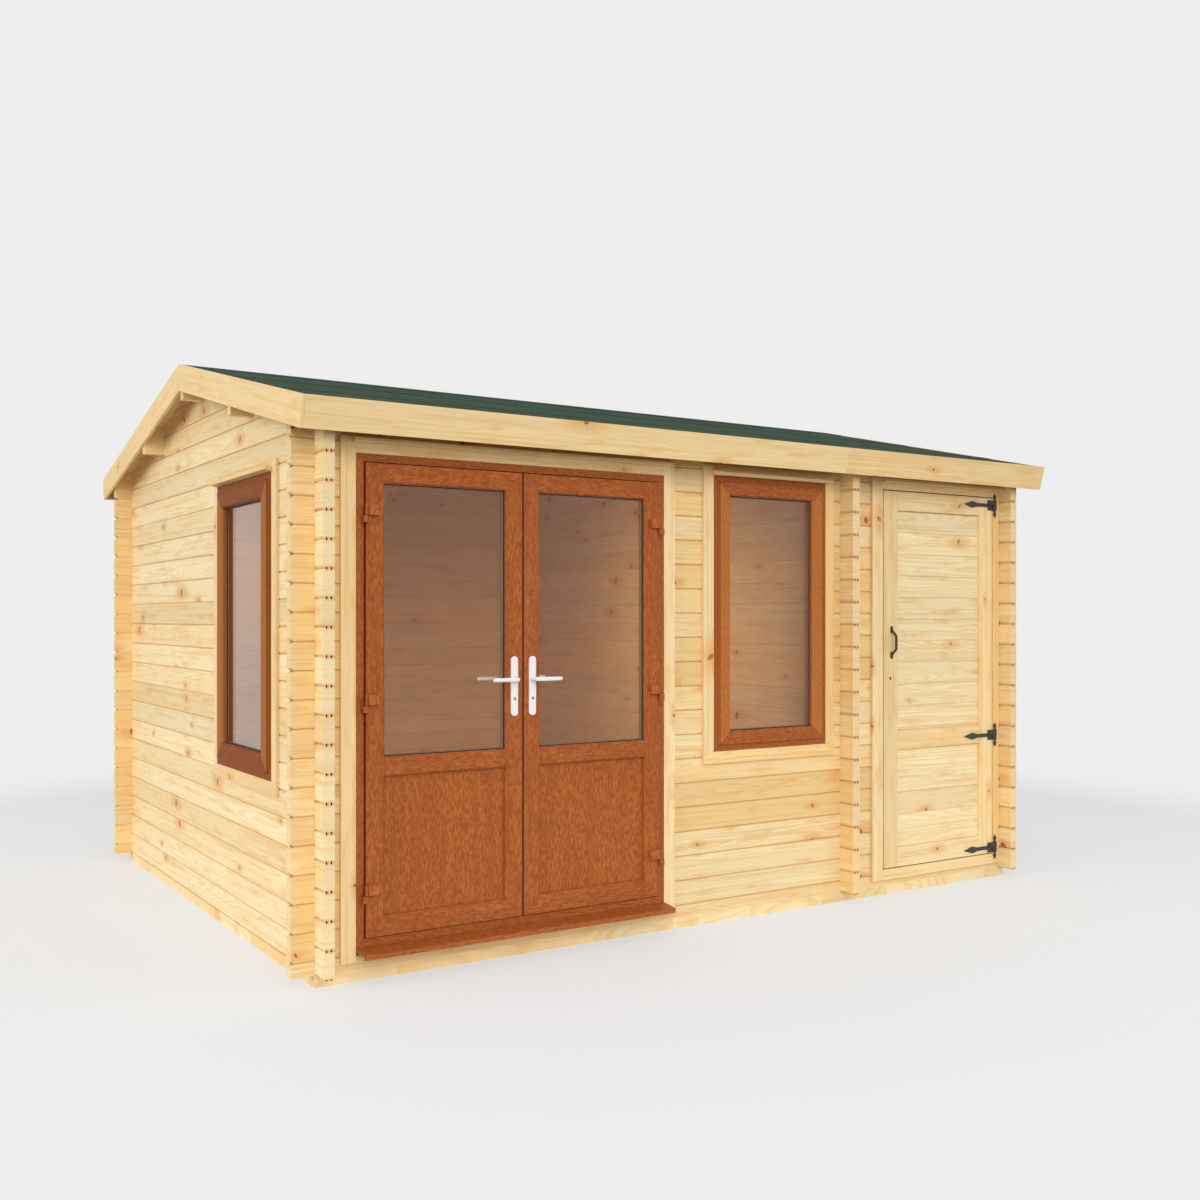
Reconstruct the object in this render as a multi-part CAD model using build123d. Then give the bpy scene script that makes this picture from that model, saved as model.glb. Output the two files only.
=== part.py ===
from build123d import *
import math
import os

# A garden log cabin: one main room behind a pair of glazed doors and a window,
# and a store with its own door, under a low apex roof.
# Millimetres. X runs along the front wall, +Y into the cabin, +Z up.
# The origin is the middle of the footprint, on the ground.

# ---- logs ----
log_thickness = 44
course = 107                # height that each log adds to a wall
log_overhang = 90           # log end past the wall that it crosses
joint_bevel = 5             # V at each joint, each way
roof_courses = 19.85        # bearer to roof boards, at the front wall's outer face

# ---- set out along the front wall, from the left outer face to the right one ----
door_offset = 156           # outer face to the door frame
door_width = 1414
door_to_window = 275        # frame to frame
front_window_width = 668
window_to_partition = 107   # window frame to the partition
partition_to_store = 199.6  # partition to the store door's lining
store_leaf_width = 790
store_to_corner = 21        # lining to the right wall

# ---- set out along the left wall, from the front outer face ----
wall_depth = 2950           # over the outer faces
side_window_offset = 450
side_window_width = 740

# ---- floor ----
bearer_height = 45
bearer_width = 70
joist_width = 45
main_room_joists = 4
store_joists = 1
floor_board = 19
floor_gap = 5               # room for the floor to move, at the walls

# ---- roof ----
roof_pitch = 13             # degrees
roof_board = 19
felt = 4
gable_overhang = 113        # wall face to the barge board's outer face
eaves_overhang = 180        # wall face to the fascia's outer top edge
barge_board = 15
fascia_board = 15
edge_board_depth = 120
purlin_width = 44
purlin_depth = 140

# ---- heads of the openings, in courses above the bearer ----
front_head_courses = 18.5
side_head_courses = 18
door_head_gap = 44          # settling gap over the frame, behind the trim
window_head_gap = 25

# ---- double door: plastic frame and two leaves ----
frame_depth = 60
frame_proud = 16            # outside the wall face
door_frame_face = 30
door_stop = 20
door_stop_depth = 9
leaf_gap = 5
leaf_thickness = 58
leaf_proud = 28
leaf_face = 75              # width of stiles and rails
leaf_panel_top = 600        # panel's top edge above the leaf's bottom edge
panel_recess = 18
glass_thickness = 24
glass_edge = 12             # part of the sealed unit inside the frame
edge_splay = 7              # splayed edge round glass and panels
sill_height = 30
sill_reach = 103            # wall face to the sill's nose
sill_nose = 19
sill_skin = 10

# ---- flag hinges of the double door ----
hinge_low = 165             # leaf's bottom edge to the lowest hinge
hinge_high = 192            # leaf's top edge to the highest, with one halfway
hinge_length = 66
hinge_radius = 7
hinge_stand_off = 10        # leaf face to the pin
hinge_flag = 50             # plate's reach over the leaf
hinge_moving = 38           # height of the moving half
hinge_plate = 6
hinge_gap = 2               # between the two knuckles

# ---- lever handles ----
lever_height = 953          # above the leaf's bottom edge
lever_length = 118
lever_depth = 42
lever_bar = 12
lever_bar_height = 18
lever_stem = 9              # half the width of the stem
lever_gap = 1               # stem to the back plate
spindle_radius = 4.5
spindle_clearance = 5
handle_plate_width = 32
handle_plate_length = 240
handle_plate_drop = 28      # plate's middle below the lever
handle_plate = 8

# ---- windows ----
window_height = 1234
window_face = 88
side_window_face = 102
sash_edge = 30              # outer frame showing round the sash
sash_proud = 10

# ---- store door ----
store_leaf_thickness = 40
store_lining = 30
store_threshold = 25
store_stop = 15
store_stop_depth = 12
store_rail = 95
store_mid_rail = 628        # middle rail's centre above the leaf's bottom
store_board = 18
store_board_pitch = 108
board_bevel = 3

# ---- store door's T hinges and pull ----
strap_low = 30              # leaf's bottom edge to the lowest hinge
strap_middle = 620
strap_high = 39             # leaf's top edge to the highest
strap_length = 217          # leaf's edge to the spear's tip
strap_width = 18
strap_plate = 5
strap_root = 35
strap_root_height = 51
spear_length = 100
spear_width = 35
spear_shoulder = 0.62       # widest place, as a part of its length from the tip
t_plate_width = 26
t_plate_height = 125
finial_width = 24
finial_neck = 10
t_pin_radius = 6
t_pin_stand_off = 7         # trim face to the pin
pull_height = 1112          # pull's middle above the leaf's bottom edge
pull_length = 126           # foot to foot
pull_reach = 32             # leaf's face to the bow's centre line
pull_bend = 30              # height of each slanting end
pull_radius = 6.5
pull_side_count = 8         # the bow is forged to an octagon
pull_foot_width = 16
pull_foot_height = 35
pull_foot = 4
pull_inset = 52

# ---- trims ----
trim = 15                   # thickness
door_trim_width = 60
window_trim_width = 55
store_trim_width = 70
trim_drop = 26              # below the first log's top edge
rain_bar_height = 21
rain_bar_reach = 46
door_head_trim = 62
window_head_trim = 46
store_head_trim = 56



def swing_reach(width, depth):
    """How far a leaf's back corner passes its closed edge as it swings; depth is from the pin."""
    return math.hypot(width, depth) - width


# ---- worked out from the sizes above ----
STORE_PIN_Y = -trim - t_pin_stand_off
STORE_LATCH_GAP = leaf_gap + swing_reach(store_leaf_width, store_leaf_thickness - trim - STORE_PIN_Y)
STORE_FRAME_WIDTH = store_lining + STORE_LATCH_GAP + store_leaf_width + leaf_gap + store_lining
WALL_LENGTH = (door_offset + door_width + door_to_window + front_window_width + window_to_partition
               + log_thickness + partition_to_store + STORE_FRAME_WIDTH + store_to_corner + log_thickness)
LEFT = -WALL_LENGTH / 2
RIGHT = WALL_LENGTH / 2
FRONT = -wall_depth / 2
BACK = wall_depth / 2
DOOR_X0 = LEFT + door_offset
DOOR_X1 = DOOR_X0 + door_width
WINDOW_X0 = DOOR_X1 + door_to_window
WINDOW_X1 = WINDOW_X0 + front_window_width
PARTITION = WINDOW_X1 + window_to_partition
STORE_X0 = PARTITION + log_thickness + partition_to_store
STORE_X1 = STORE_X0 + STORE_FRAME_WIDTH
STORE_LEAF = STORE_X0 + store_lining + STORE_LATCH_GAP
BASE = bearer_height
HALF_LOG = BASE + course / 2
FRONT_HEAD = BASE + front_head_courses * course
SIDE_HEAD = BASE + side_head_courses * course
FRONT_SILL = FRONT_HEAD - window_head_gap - window_height
SIDE_SILL = SIDE_HEAD - window_head_gap - window_height
PITCH = math.radians(roof_pitch)
ROOF_TOP = roof_board + felt
RIDGE_UNDER = BASE + roof_courses * course + wall_depth / 2 * math.tan(PITCH)
VERGE = WALL_LENGTH / 2 + gable_overhang - barge_board
EDGE_OUT = (wall_depth / 2 + eaves_overhang - ROOF_TOP * math.sin(PITCH)) / math.cos(PITCH)
EAVES_END = EDGE_OUT - fascia_board


def block(x0, x1, y0, y1, z0, z1):
    """A straight block between two corners."""
    return Pos(x0, y0, z0) * Box(x1 - x0, y1 - y0, z1 - z0, align=(Align.MIN,) * 3)


def prism_x(points, x0, x1):
    """A (y, z) outline carried along X."""
    face = Plane.YZ.offset(x0) * make_face(Polyline(*points, close=True))
    return extrude(face, amount=x1 - x0, dir=(1, 0, 0))


def splay(x0, x1, z0, z1, y_narrow, y_wide, spread):
    """A rectangular funnel along Y that widens by spread on every side."""
    middle = ((x0 + x1) / 2, (z0 + z1) / 2)
    faces = []
    for y, grow in ((y_narrow, 0), (y_wide, spread)):
        plane = Plane(origin=(middle[0], y, middle[1]), x_dir=(1, 0, 0), z_dir=(0, -1, 0))
        faces.append(plane * Rectangle(x1 - x0 + 2 * grow, z1 - z0 + 2 * grow))
    return loft(Sketch() + faces)


def mirrored_slope(part):
    """The same piece on the rear slope."""
    return mirror(part, about=Plane.XZ)


# ---------------------------------------------------------------- log walls

def joint_heights(z0, z1, phase):
    """Heights of the log joints from z0 to z1; phase is half a course on front and rear walls."""
    count = int((z1 - BASE) / course) + 2
    heights = [BASE + (k + phase) * course for k in range(count)]
    return [z for z in heights if z0 - 0.01 <= z <= z1 + 0.01]


def joint_above(height, phase):
    """The first log joint at or above a height."""
    return BASE + (math.ceil((height - BASE) / course - phase) + phase) * course


def face_line(z0, z1, phase, grooved):
    """(depth, z) points up one face of the logs, with a V at each joint where grooved is true."""
    joints = joint_heights(z0 - joint_bevel, z1 + joint_bevel, phase) if grooved else []
    heights = {z0, z1}
    for z in joints:
        heights.update(h for h in (z - joint_bevel, z, z + joint_bevel) if z0 + 0.01 < h < z1 - 0.01)
    return [(max([0] + [joint_bevel - abs(h - z) for z in joints]), h) for h in sorted(heights)]


def log_stretch(x0, x1, z0, z1, phase, near, far):
    """Logs along X with their near face at y = 0; near and far say which faces have V joints."""
    front = face_line(z0, z1, phase, near)
    back = [(log_thickness - depth, z) for depth, z in face_line(z0, z1, phase, far)]
    return prism_x(front + back[::-1], x0, x1)


def lap(x, top):
    """The upper half of a log, which is what its notch leaves where it rides over a crossing log."""
    low = top - course / 2
    outline = [(0, low), (0, top - joint_bevel), (joint_bevel, top), (log_thickness - joint_bevel, top),
               (log_thickness, top - joint_bevel), (log_thickness, low)]
    return prism_x(outline, x, x + log_thickness)


def log_wall(x0, x1, z0, z1, phase, crossings, near, far, both_at_ends=False):
    """Logs along X, notched half their height from below at each crossing wall.

    near and far say which faces have V joints; both_at_ends gives them to both faces of the log
    ends past the first and the last crossing.
    """
    pieces = []
    start = x0
    for crossing in [*crossings, None]:
        end = x1 if crossing is None else crossing
        both = both_at_ends and (start == x0 or crossing is None)
        pieces.append(log_stretch(start, end, z0, z1, phase, near or both, far or both))
        if crossing is not None:
            pieces += [lap(crossing, top) for top in joint_heights(z0 + 1, z1, phase)]
            start = crossing + log_thickness
    return Part() + pieces


def front_logs(x0, x1, z0, z1, crossings=()):
    return Pos(0, FRONT, 0) * log_wall(x0, x1, z0, z1, 0.5, crossings, True, False)


def cross_logs(y0, y1, x_face, z0, z1, crossings=(), left=False, right=False):
    """Logs of a gable wall or the partition; left and right say which faces meet the weather."""
    wall = log_wall(y0, y1, z0, z1, 0, crossings, right, left, not left and not right)
    return Pos(x_face + log_thickness, 0, 0) * Rot(0, 0, 90) * wall


# ---------------------------------------------------------------- roof

def under_roof(y):
    """Height of the roof boards' underside."""
    return RIDGE_UNDER - abs(y) * math.tan(PITCH)


def slope_point(down, up):
    """A point of the front slope: down the slope from the ridge, and up from the boards' underside."""
    y = -down * math.cos(PITCH) - up * math.sin(PITCH)
    return y, RIDGE_UNDER - down * math.sin(PITCH) + up * math.cos(PITCH)


def slope_layer(x0, x1, down, low, high):
    """A layer of the front slope with a plumb cut at the ridge and a square end."""
    ridge_low = (0, RIDGE_UNDER + low / math.cos(PITCH))
    ridge_high = (0, RIDGE_UNDER + high / math.cos(PITCH))
    return prism_x([ridge_low, slope_point(down, low), slope_point(down, high), ridge_high], x0, x1)


def sky():
    """All the space above the roof boards' underside, which trims the wall tops."""
    far = wall_depth / 2 + log_overhang + course
    top = RIDGE_UNDER + course
    outline = [(-far, under_roof(far)), (0, RIDGE_UNDER), (far, under_roof(far)), (far, top), (-far, top)]
    return prism_x(outline, LEFT - 2 * log_overhang, RIGHT + 2 * log_overhang)


def purlin(y):
    """A purlin whose top is planed to the slope."""
    low = under_roof(abs(y)) - purlin_depth
    y0 = y - purlin_width / 2
    y1 = y + purlin_width / 2
    top = [(y1, under_roof(y1)), (y0, under_roof(y0))]
    if y == 0:
        top.insert(1, (0, RIDGE_UNDER))
    return prism_x([(y0, low), (y1, low)] + top, -VERGE, VERGE)


def edge_boards(end):
    """Barge boards of one gable: end is -1 at the left and 1 at the right."""
    x_in = end * VERGE
    x_out = end * (VERGE + barge_board)
    low = ROOF_TOP - edge_board_depth
    board = slope_layer(min(x_in, x_out), max(x_in, x_out), EDGE_OUT, low, ROOF_TOP)
    return board + mirrored_slope(board)


def fascia():
    """Front fascia, square to the slope, between the barge boards."""
    low = ROOF_TOP - edge_board_depth
    corners = [(EAVES_END, low), (EDGE_OUT, low), (EDGE_OUT, ROOF_TOP), (EAVES_END, ROOF_TOP)]
    return prism_x([slope_point(down, up) for down, up in corners], -VERGE, VERGE)


# ---------------------------------------------------------------- glazed frames

def glazed_opening(x0, x1, z0, z1, y_out, y_in, y_glass):
    """What is cut for a sealed unit: the sight opening, splayed edges, and the glazing groove."""
    cut = block(x0, x1, y_out - 1, y_in + 1, z0, z1)
    cut += splay(x0, x1, z0, z1, y_out + edge_splay, y_out - 1, edge_splay + 1)
    cut += splay(x0, x1, z0, z1, y_in - edge_splay, y_in + 1, edge_splay + 1)
    groove = block(x0 - glass_edge, x1 + glass_edge, y_glass, y_glass + glass_thickness,
                   z0 - glass_edge, z1 + glass_edge)
    return cut + groove, groove


def window_unit(width, height, face):
    """Frame and glass of a window: corner at the origin, wall face at y = 0, outside at -Y."""
    frame = block(0, width, -frame_proud, frame_depth - frame_proud, 0, height)
    sash_out = -frame_proud - sash_proud
    frame += block(sash_edge, width - sash_edge, sash_out, -frame_proud + 1, sash_edge, height - sash_edge)
    cut, glass = glazed_opening(face, width - face, face, height - face,
                                sash_out, frame_depth - frame_proud, 0)
    return frame - cut, glass


def surround(x0, x1, z0, z1, side, head, foot):
    """Flat trim round an opening, its back on the wall face at y = 0; foot is 0 at a door."""
    outer = block(x0 - side, x1 + side, -trim, 0, z0 - foot, z1 + head)
    return outer - block(x0, x1, -trim - 1, 1, z0 - (0 if foot else 1), z1)


def rain_bar(x0, x1, z_low):
    """Drip strip over an opening, with its top sloped outwards."""
    fall = rain_bar_height / 4
    outline = [(0, z_low), (-rain_bar_reach, z_low), (-rain_bar_reach, z_low + rain_bar_height - fall),
               (-trim, z_low + rain_bar_height), (0, z_low + rain_bar_height)]
    return prism_x(outline, x0, x1)


# ---------------------------------------------------------------- double door

DOOR_Z0 = HALF_LOG + sill_height
DOOR_Z1 = FRONT_HEAD - door_head_gap
LEAF_Z0 = DOOR_Z0 + door_frame_face + leaf_gap
LEAF_Z1 = DOOR_Z1 - door_frame_face - leaf_gap
LEAF_HEIGHT = LEAF_Z1 - LEAF_Z0
LEAF_X0 = DOOR_X0 + door_frame_face + leaf_gap
LEAF_X1 = DOOR_X1 - door_frame_face - leaf_gap
LEAF_BACK = leaf_thickness - leaf_proud
PIN_Y = -leaf_proud - hinge_stand_off
MEETING_GAP = leaf_gap + swing_reach(door_width / 2, LEAF_BACK - PIN_Y)
LEAF_WIDTH = (LEAF_X1 - LEAF_X0 - MEETING_GAP) / 2
LEVER_X = LEAF_WIDTH - leaf_face / 2
# the hinge pins stand over the gap between leaf and frame
PIN_X = -leaf_gap / 2
HINGES = (hinge_low, (hinge_low + LEAF_HEIGHT - hinge_high) / 2, LEAF_HEIGHT - hinge_high)


def door_frame():
    """Outer frame of the double door, with its stop, and the fixed halves of the hinges."""
    back = frame_depth - frame_proud
    frame = block(DOOR_X0, DOOR_X1, -frame_proud, back, DOOR_Z0, DOOR_Z1)
    rim = door_frame_face
    stop = rim + door_stop
    frame -= block(DOOR_X0 + rim, DOOR_X1 - rim, -frame_proud - 1, back - door_stop_depth,
                   DOOR_Z0 + rim, DOOR_Z1 - rim)
    frame -= block(DOOR_X0 + stop, DOOR_X1 - stop, 0, back + 1, DOOR_Z0 + stop, DOOR_Z1 - stop)
    for height in HINGES:
        low = LEAF_Z0 + height - hinge_length / 2
        top = LEAF_Z0 + height + hinge_length / 2 - hinge_moving - hinge_gap
        for pin_x, side in ((LEAF_X0 + PIN_X, -1), (LEAF_X1 - PIN_X, 1)):
            knuckle = Pos(pin_x, PIN_Y, low) * Cylinder(
                hinge_radius, top - low, align=(Align.CENTER, Align.CENTER, Align.MIN))
            inner = pin_x + side * leaf_gap / 2
            outer = pin_x + side * door_frame_face / 2
            arm = block(min(inner, outer), max(inner, outer), PIN_Y, -frame_proud, low, top)
            web = block(min(pin_x, outer), max(pin_x, outer), PIN_Y - hinge_radius, PIN_Y, low, top)
            frame += [knuckle, arm, web]
    return frame


def leaf():
    """One glazed leaf, hinged at its left edge; its corner at the origin, wall face at y = 0."""
    body = block(0, LEAF_WIDTH, -leaf_proud, LEAF_BACK, 0, LEAF_HEIGHT)
    x0 = leaf_face
    x1 = LEAF_WIDTH - leaf_face
    cut, glass = glazed_opening(x0, x1, leaf_panel_top + leaf_face, LEAF_HEIGHT - leaf_face,
                                -leaf_proud, LEAF_BACK, (LEAF_BACK - leaf_proud - glass_thickness) / 2)
    body -= cut
    for face_y, way in ((-leaf_proud, 1), (LEAF_BACK, -1)):
        deep = face_y + way * panel_recess
        body -= block(x0, x1, min(face_y - way, deep), max(face_y - way, deep), leaf_face, leaf_panel_top)
        body -= splay(x0, x1, leaf_face, leaf_panel_top, face_y + way * edge_splay, face_y - way, edge_splay + 1)
    spindle_hole = Cylinder(spindle_radius + spindle_clearance, 2 * leaf_thickness)
    body -= Pos(LEVER_X, 0, lever_height) * Rot(90, 0, 0) * spindle_hole
    for height in HINGES:
        top = height + hinge_length / 2
        low = top - hinge_moving
        body += Pos(PIN_X, PIN_Y, low) * Cylinder(
            hinge_radius, hinge_moving, align=(Align.CENTER, Align.CENTER, Align.MIN))
        body += block(PIN_X, hinge_flag, -leaf_proud - hinge_plate, -leaf_proud, low, top)
    return body, glass


def handle_plates():
    """The two long back plates, one on each side of a leaf."""
    plates = []
    for face_y, way in ((-leaf_proud, -1), (LEAF_BACK, 1)):
        outline = Rectangle(handle_plate_length, handle_plate_width)
        outline = chamfer(outline.vertices(), handle_plate_width * 0.3)
        outline -= Pos(handle_plate_drop, 0) * Circle(spindle_radius + spindle_clearance)
        plane = Plane(origin=(LEVER_X, face_y, lever_height - handle_plate_drop), x_dir=(0, 0, 1), z_dir=(0, way, 0))
        plates.append(extrude(plane * outline, amount=handle_plate))
    return Part() + plates


def lever_pair():
    """Outer and inner lever on one spindle, pointing away from the meeting stile."""
    levers = Pos(LEVER_X, (LEAF_BACK - leaf_proud) / 2, lever_height) * Rot(90, 0, 0) * Cylinder(
        spindle_radius, leaf_thickness + 2 * handle_plate + 4 * lever_gap)
    for face_y, way in ((-leaf_proud - handle_plate, -1), (LEAF_BACK + handle_plate, 1)):
        start = face_y + way * lever_gap
        end = start + way * lever_depth
        plan = Polyline((lever_stem, start), (lever_stem, end), (-lever_length, end),
                        (-lever_length, end - way * lever_bar), (-lever_stem, end - way * lever_bar),
                        (-lever_stem, start), close=True)
        outline = make_face(plan)
        knuckle = outline.vertices().sort_by_distance((lever_stem, end, 0))[0]
        outline = fillet(knuckle, lever_bar)
        arm = extrude(Plane.XY.offset(-lever_bar_height / 2) * outline, amount=lever_bar_height, dir=(0, 0, 1))
        levers += Pos(LEVER_X, 0, lever_height) * arm
    return levers


def sill():
    """Door sill: a hollow plastic section with a sloped top and a drip nose."""
    back = frame_depth - frame_proud
    top = HALF_LOG + sill_height
    nose_top = top - sill_skin
    nose_low = nose_top - sill_nose
    lip = sill_skin * 0.8
    outline = [(back, HALF_LOG), (back, top), (-frame_proud, top), (-sill_reach, nose_top),
               (-sill_reach, nose_low), (lip - sill_reach, nose_low), (lip - sill_reach, nose_top - lip),
               (-lip, nose_top - lip), (-lip, HALF_LOG)]
    return prism_x(outline, DOOR_X0, DOOR_X1)


def right_hand(part):
    """The mirror image of a left leaf's piece, placed at the right side of the door."""
    return Pos(LEAF_X1, FRONT, LEAF_Z0) * mirror(part, about=Plane.YZ)


def left_hand(part):
    return Pos(LEAF_X0, FRONT, LEAF_Z0) * part


# ---------------------------------------------------------------- store door

STORE_IN0 = STORE_X0 + store_lining
STORE_IN1 = STORE_X1 - store_lining
STORE_Z0 = HALF_LOG + store_threshold + leaf_gap
STORE_Z1 = FRONT_HEAD - store_lining - leaf_gap
STORE_HEIGHT = STORE_Z1 - STORE_Z0
STRAPS = (strap_low, strap_middle, STORE_HEIGHT - strap_high)


def store_frame():
    """Timber lining of the store doorway, with its stops and threshold."""
    frame = block(STORE_X0, STORE_X1, 0, log_thickness, HALF_LOG, FRONT_HEAD)
    back = log_thickness - store_stop_depth
    frame -= block(STORE_IN0, STORE_IN1, -1, back, HALF_LOG + store_threshold, FRONT_HEAD - store_lining)
    frame -= block(STORE_IN0 + store_stop, STORE_IN1 - store_stop, 0, log_thickness + 1,
                   HALF_LOG + store_threshold, FRONT_HEAD - store_lining - store_stop)
    return frame


def board_panel(width, z0, z1):
    """Tongued boards laid level, with a small V at each joint."""
    back = store_board
    side = [(0, z0)]
    count = int((z1 - z0) / store_board_pitch)
    start = z1 - count * store_board_pitch
    for k in range(count):
        z = start + k * store_board_pitch
        if z - z0 > 2 * board_bevel:
            side += [(0, z - board_bevel), (board_bevel, z), (0, z + board_bevel)]
    outline = side + [(0, z1), (back, z1), (back, z0)]
    return prism_x(outline, 0, width)


def store_leaf():
    """Framed and boarded leaf; corner at the origin, its face level with the trims."""
    back = store_leaf_thickness - trim
    body = block(0, store_leaf_width, -trim, back, 0, STORE_HEIGHT)
    middle = (store_mid_rail - store_rail / 2, store_mid_rail + store_rail / 2)
    inner = store_leaf_width - 2 * store_rail
    for z0, z1 in ((store_rail, middle[0]), (middle[1], STORE_HEIGHT - store_rail)):
        body -= block(store_rail, store_rail + inner, -trim - 1, back + 1, z0, z1)
        body -= splay(store_rail, store_rail + inner, z0, z1, -trim + board_bevel, -trim - 1, board_bevel + 1)
        body += Pos(store_rail, 0, 0) * board_panel(inner, z0, z1)
    return body


KNUCKLE = strap_root_height / 2


def knuckle(x, z, height, grow=0):
    """A T hinge's knuckle on its pin; grow widens it, for the clearance round it."""
    align = (Align.CENTER, Align.CENTER, Align.MIN)
    return Pos(x, STORE_PIN_Y, z) * Cylinder(t_pin_radius + grow, height, align=align)


def strap_hinges():
    """Moving straps of the three T hinges: spear point, strap, root and upper knuckle."""
    pieces = []
    edge = store_leaf_width
    pin_x = edge + leaf_gap / 2
    half = strap_width / 2
    tip = edge - strap_length
    plane = Plane(origin=(0, -trim, 0), x_dir=(1, 0, 0), z_dir=(0, -1, 0))
    for height in STRAPS:
        spear = [(tip, height), (tip + spear_length * spear_shoulder, height + spear_width / 2),
                 (tip + spear_length, height + half),
                 (edge - strap_root, height + half), (edge - strap_root, height + strap_root_height / 2),
                 (edge - leaf_gap, height + strap_root_height / 2)]
        lower = [(x, 2 * height - z) for x, z in reversed(spear[1:])]
        strap = extrude(plane * make_face(Polyline(*spear, *lower, close=True)), amount=strap_plate)
        low = height + hinge_gap / 2
        strap += knuckle(pin_x, low, KNUCKLE)
        strap += block(edge - strap_root, pin_x, STORE_PIN_Y - t_pin_radius, 1 - trim - strap_plate, low, low + KNUCKLE)
        pieces.append(strap)
    return Part() + pieces


def hinge_plates():
    """Fixed plates of the T hinges on the right-hand trim, each with the lower knuckle."""
    pieces = []
    edge = store_leaf_width
    pin_x = edge + leaf_gap / 2
    x0 = edge + leaf_gap
    middle = x0 + t_plate_width / 2
    root = strap_root_height / 2
    tip = t_plate_height / 2
    neck = finial_neck / 2
    plane = Plane(origin=(0, -trim, 0), x_dir=(1, 0, 0), z_dir=(0, -1, 0))
    for height in STRAPS:
        side = [(x0, height + root), (middle - neck, height + root + neck), (middle - neck, height + root + 2 * neck),
                (middle - finial_width / 2, height + (root + tip) / 2), (middle, height + tip)]
        upper = side + [(2 * middle - x, z) for x, z in reversed(side[:-1])]
        lower = [(x, 2 * height - z) for x, z in reversed(upper)]
        plate = extrude(plane * make_face(Polyline(*upper, *lower, close=True)), amount=strap_plate)
        plate -= Pos(0, 0, -hinge_gap / 2) * knuckle(pin_x, height, KNUCKLE + 2 * hinge_gap, hinge_gap)
        top = height - hinge_gap / 2
        plate += knuckle(pin_x, top - KNUCKLE, KNUCKLE)
        plate += block(pin_x, x0 + neck, STORE_PIN_Y - t_pin_radius, -trim, top - KNUCKLE, top)
        pieces.append(plate)
    return Part() + pieces


def store_pull():
    """Forged pull on the left stile: a bow with slanting ends, on two flat feet."""
    x = pull_inset
    low = pull_height - pull_length / 2
    high = pull_height + pull_length / 2
    out = -trim - pull_reach
    bow = FilletPolyline((x, -trim, low), (x, out, low + pull_bend), (x, out, high - pull_bend), (x, -trim, high),
                         radius=pull_bend / 2)
    section = Plane(origin=bow @ 0, z_dir=bow % 0) * RegularPolygon(pull_radius, pull_side_count)
    pull = sweep(section, path=bow)
    pull -= block(x - pull_reach, x + pull_reach, -trim, pull_reach, low - pull_reach, high + pull_reach)
    outline = Rectangle(pull_foot_width, pull_foot_height)
    outline = chamfer(outline.vertices(), pull_foot_width / 3)
    foot = extrude(Plane.XZ * outline, amount=pull_foot)
    return pull + [Pos(x, -trim, z) * foot for z in (low, high)]


def place_store(part):
    return Pos(STORE_LEAF, FRONT, STORE_Z0) * part


# ---------------------------------------------------------------- assembly

def floor_frame():
    """Bearers halved together into one ring, with one more under the partition."""
    width = bearer_width
    ring = block(LEFT, RIGHT, FRONT, BACK, 0, BASE)
    middle = PARTITION + log_thickness / 2
    bays = ((LEFT + width, middle - width / 2), (middle + width / 2, RIGHT - width))
    joists = []
    for (x0, x1), count in zip(bays, (main_room_joists, store_joists)):
        ring -= block(x0, x1, FRONT + width, BACK - width, -1, BASE + 1)
        for i in range(count):
            x = x0 + (i + 1) * (x1 - x0) / (count + 1)
            joists.append(block(x - joist_width / 2, x + joist_width / 2, FRONT + width, BACK - width, 0, BASE))
    return ring, Part() + joists


def floor(x0, x1):
    gap = floor_gap
    inner = log_thickness + gap
    return block(x0 + gap, x1 - gap, FRONT + inner, BACK - inner, BASE, BASE + floor_board)


nodes = {}
ring, joists = floor_frame()
nodes["bearers"] = ring
nodes["floor_joists"] = joists
nodes["main_floor"] = floor(LEFT + log_thickness, PARTITION)
nodes["store_floor"] = floor(PARTITION + log_thickness, RIGHT - log_thickness)

# front wall, split at its openings
end0 = LEFT - log_overhang
end1 = RIGHT + log_overhang
right_corner = RIGHT - log_thickness
corners = (LEFT, PARTITION, right_corner)
EAVES_JOINT = joint_above(under_roof(FRONT + log_thickness), 0.5)
front_pieces = {
    "front_wall_base": (end0, end1, BASE, HALF_LOG, corners),
    "front_wall_left": (end0, DOOR_X0, HALF_LOG, FRONT_HEAD, corners[:1]),
    "front_wall_centre": (DOOR_X1, WINDOW_X0, HALF_LOG, FRONT_HEAD, ()),
    "front_wall_under_window": (WINDOW_X0, WINDOW_X1, HALF_LOG, FRONT_SILL, ()),
    "front_wall_partition_bay": (WINDOW_X1, STORE_X0, HALF_LOG, FRONT_HEAD, corners[1:2]),
    "front_wall_right": (STORE_X1, end1, HALF_LOG, FRONT_HEAD, corners[2:]),
    "front_wall_top": (end0, end1, FRONT_HEAD, EAVES_JOINT, corners),
}
above = sky()
for name, (x0, x1, z0, z1, crossings) in front_pieces.items():
    nodes[name] = front_logs(x0, x1, z0, z1, crossings)
nodes["front_wall_top"] -= above
rear = log_wall(end0, end1, BASE, EAVES_JOINT, 0.5, corners, False, True)
nodes["rear_wall"] = Pos(0, BACK - log_thickness, 0) * rear - above

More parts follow.
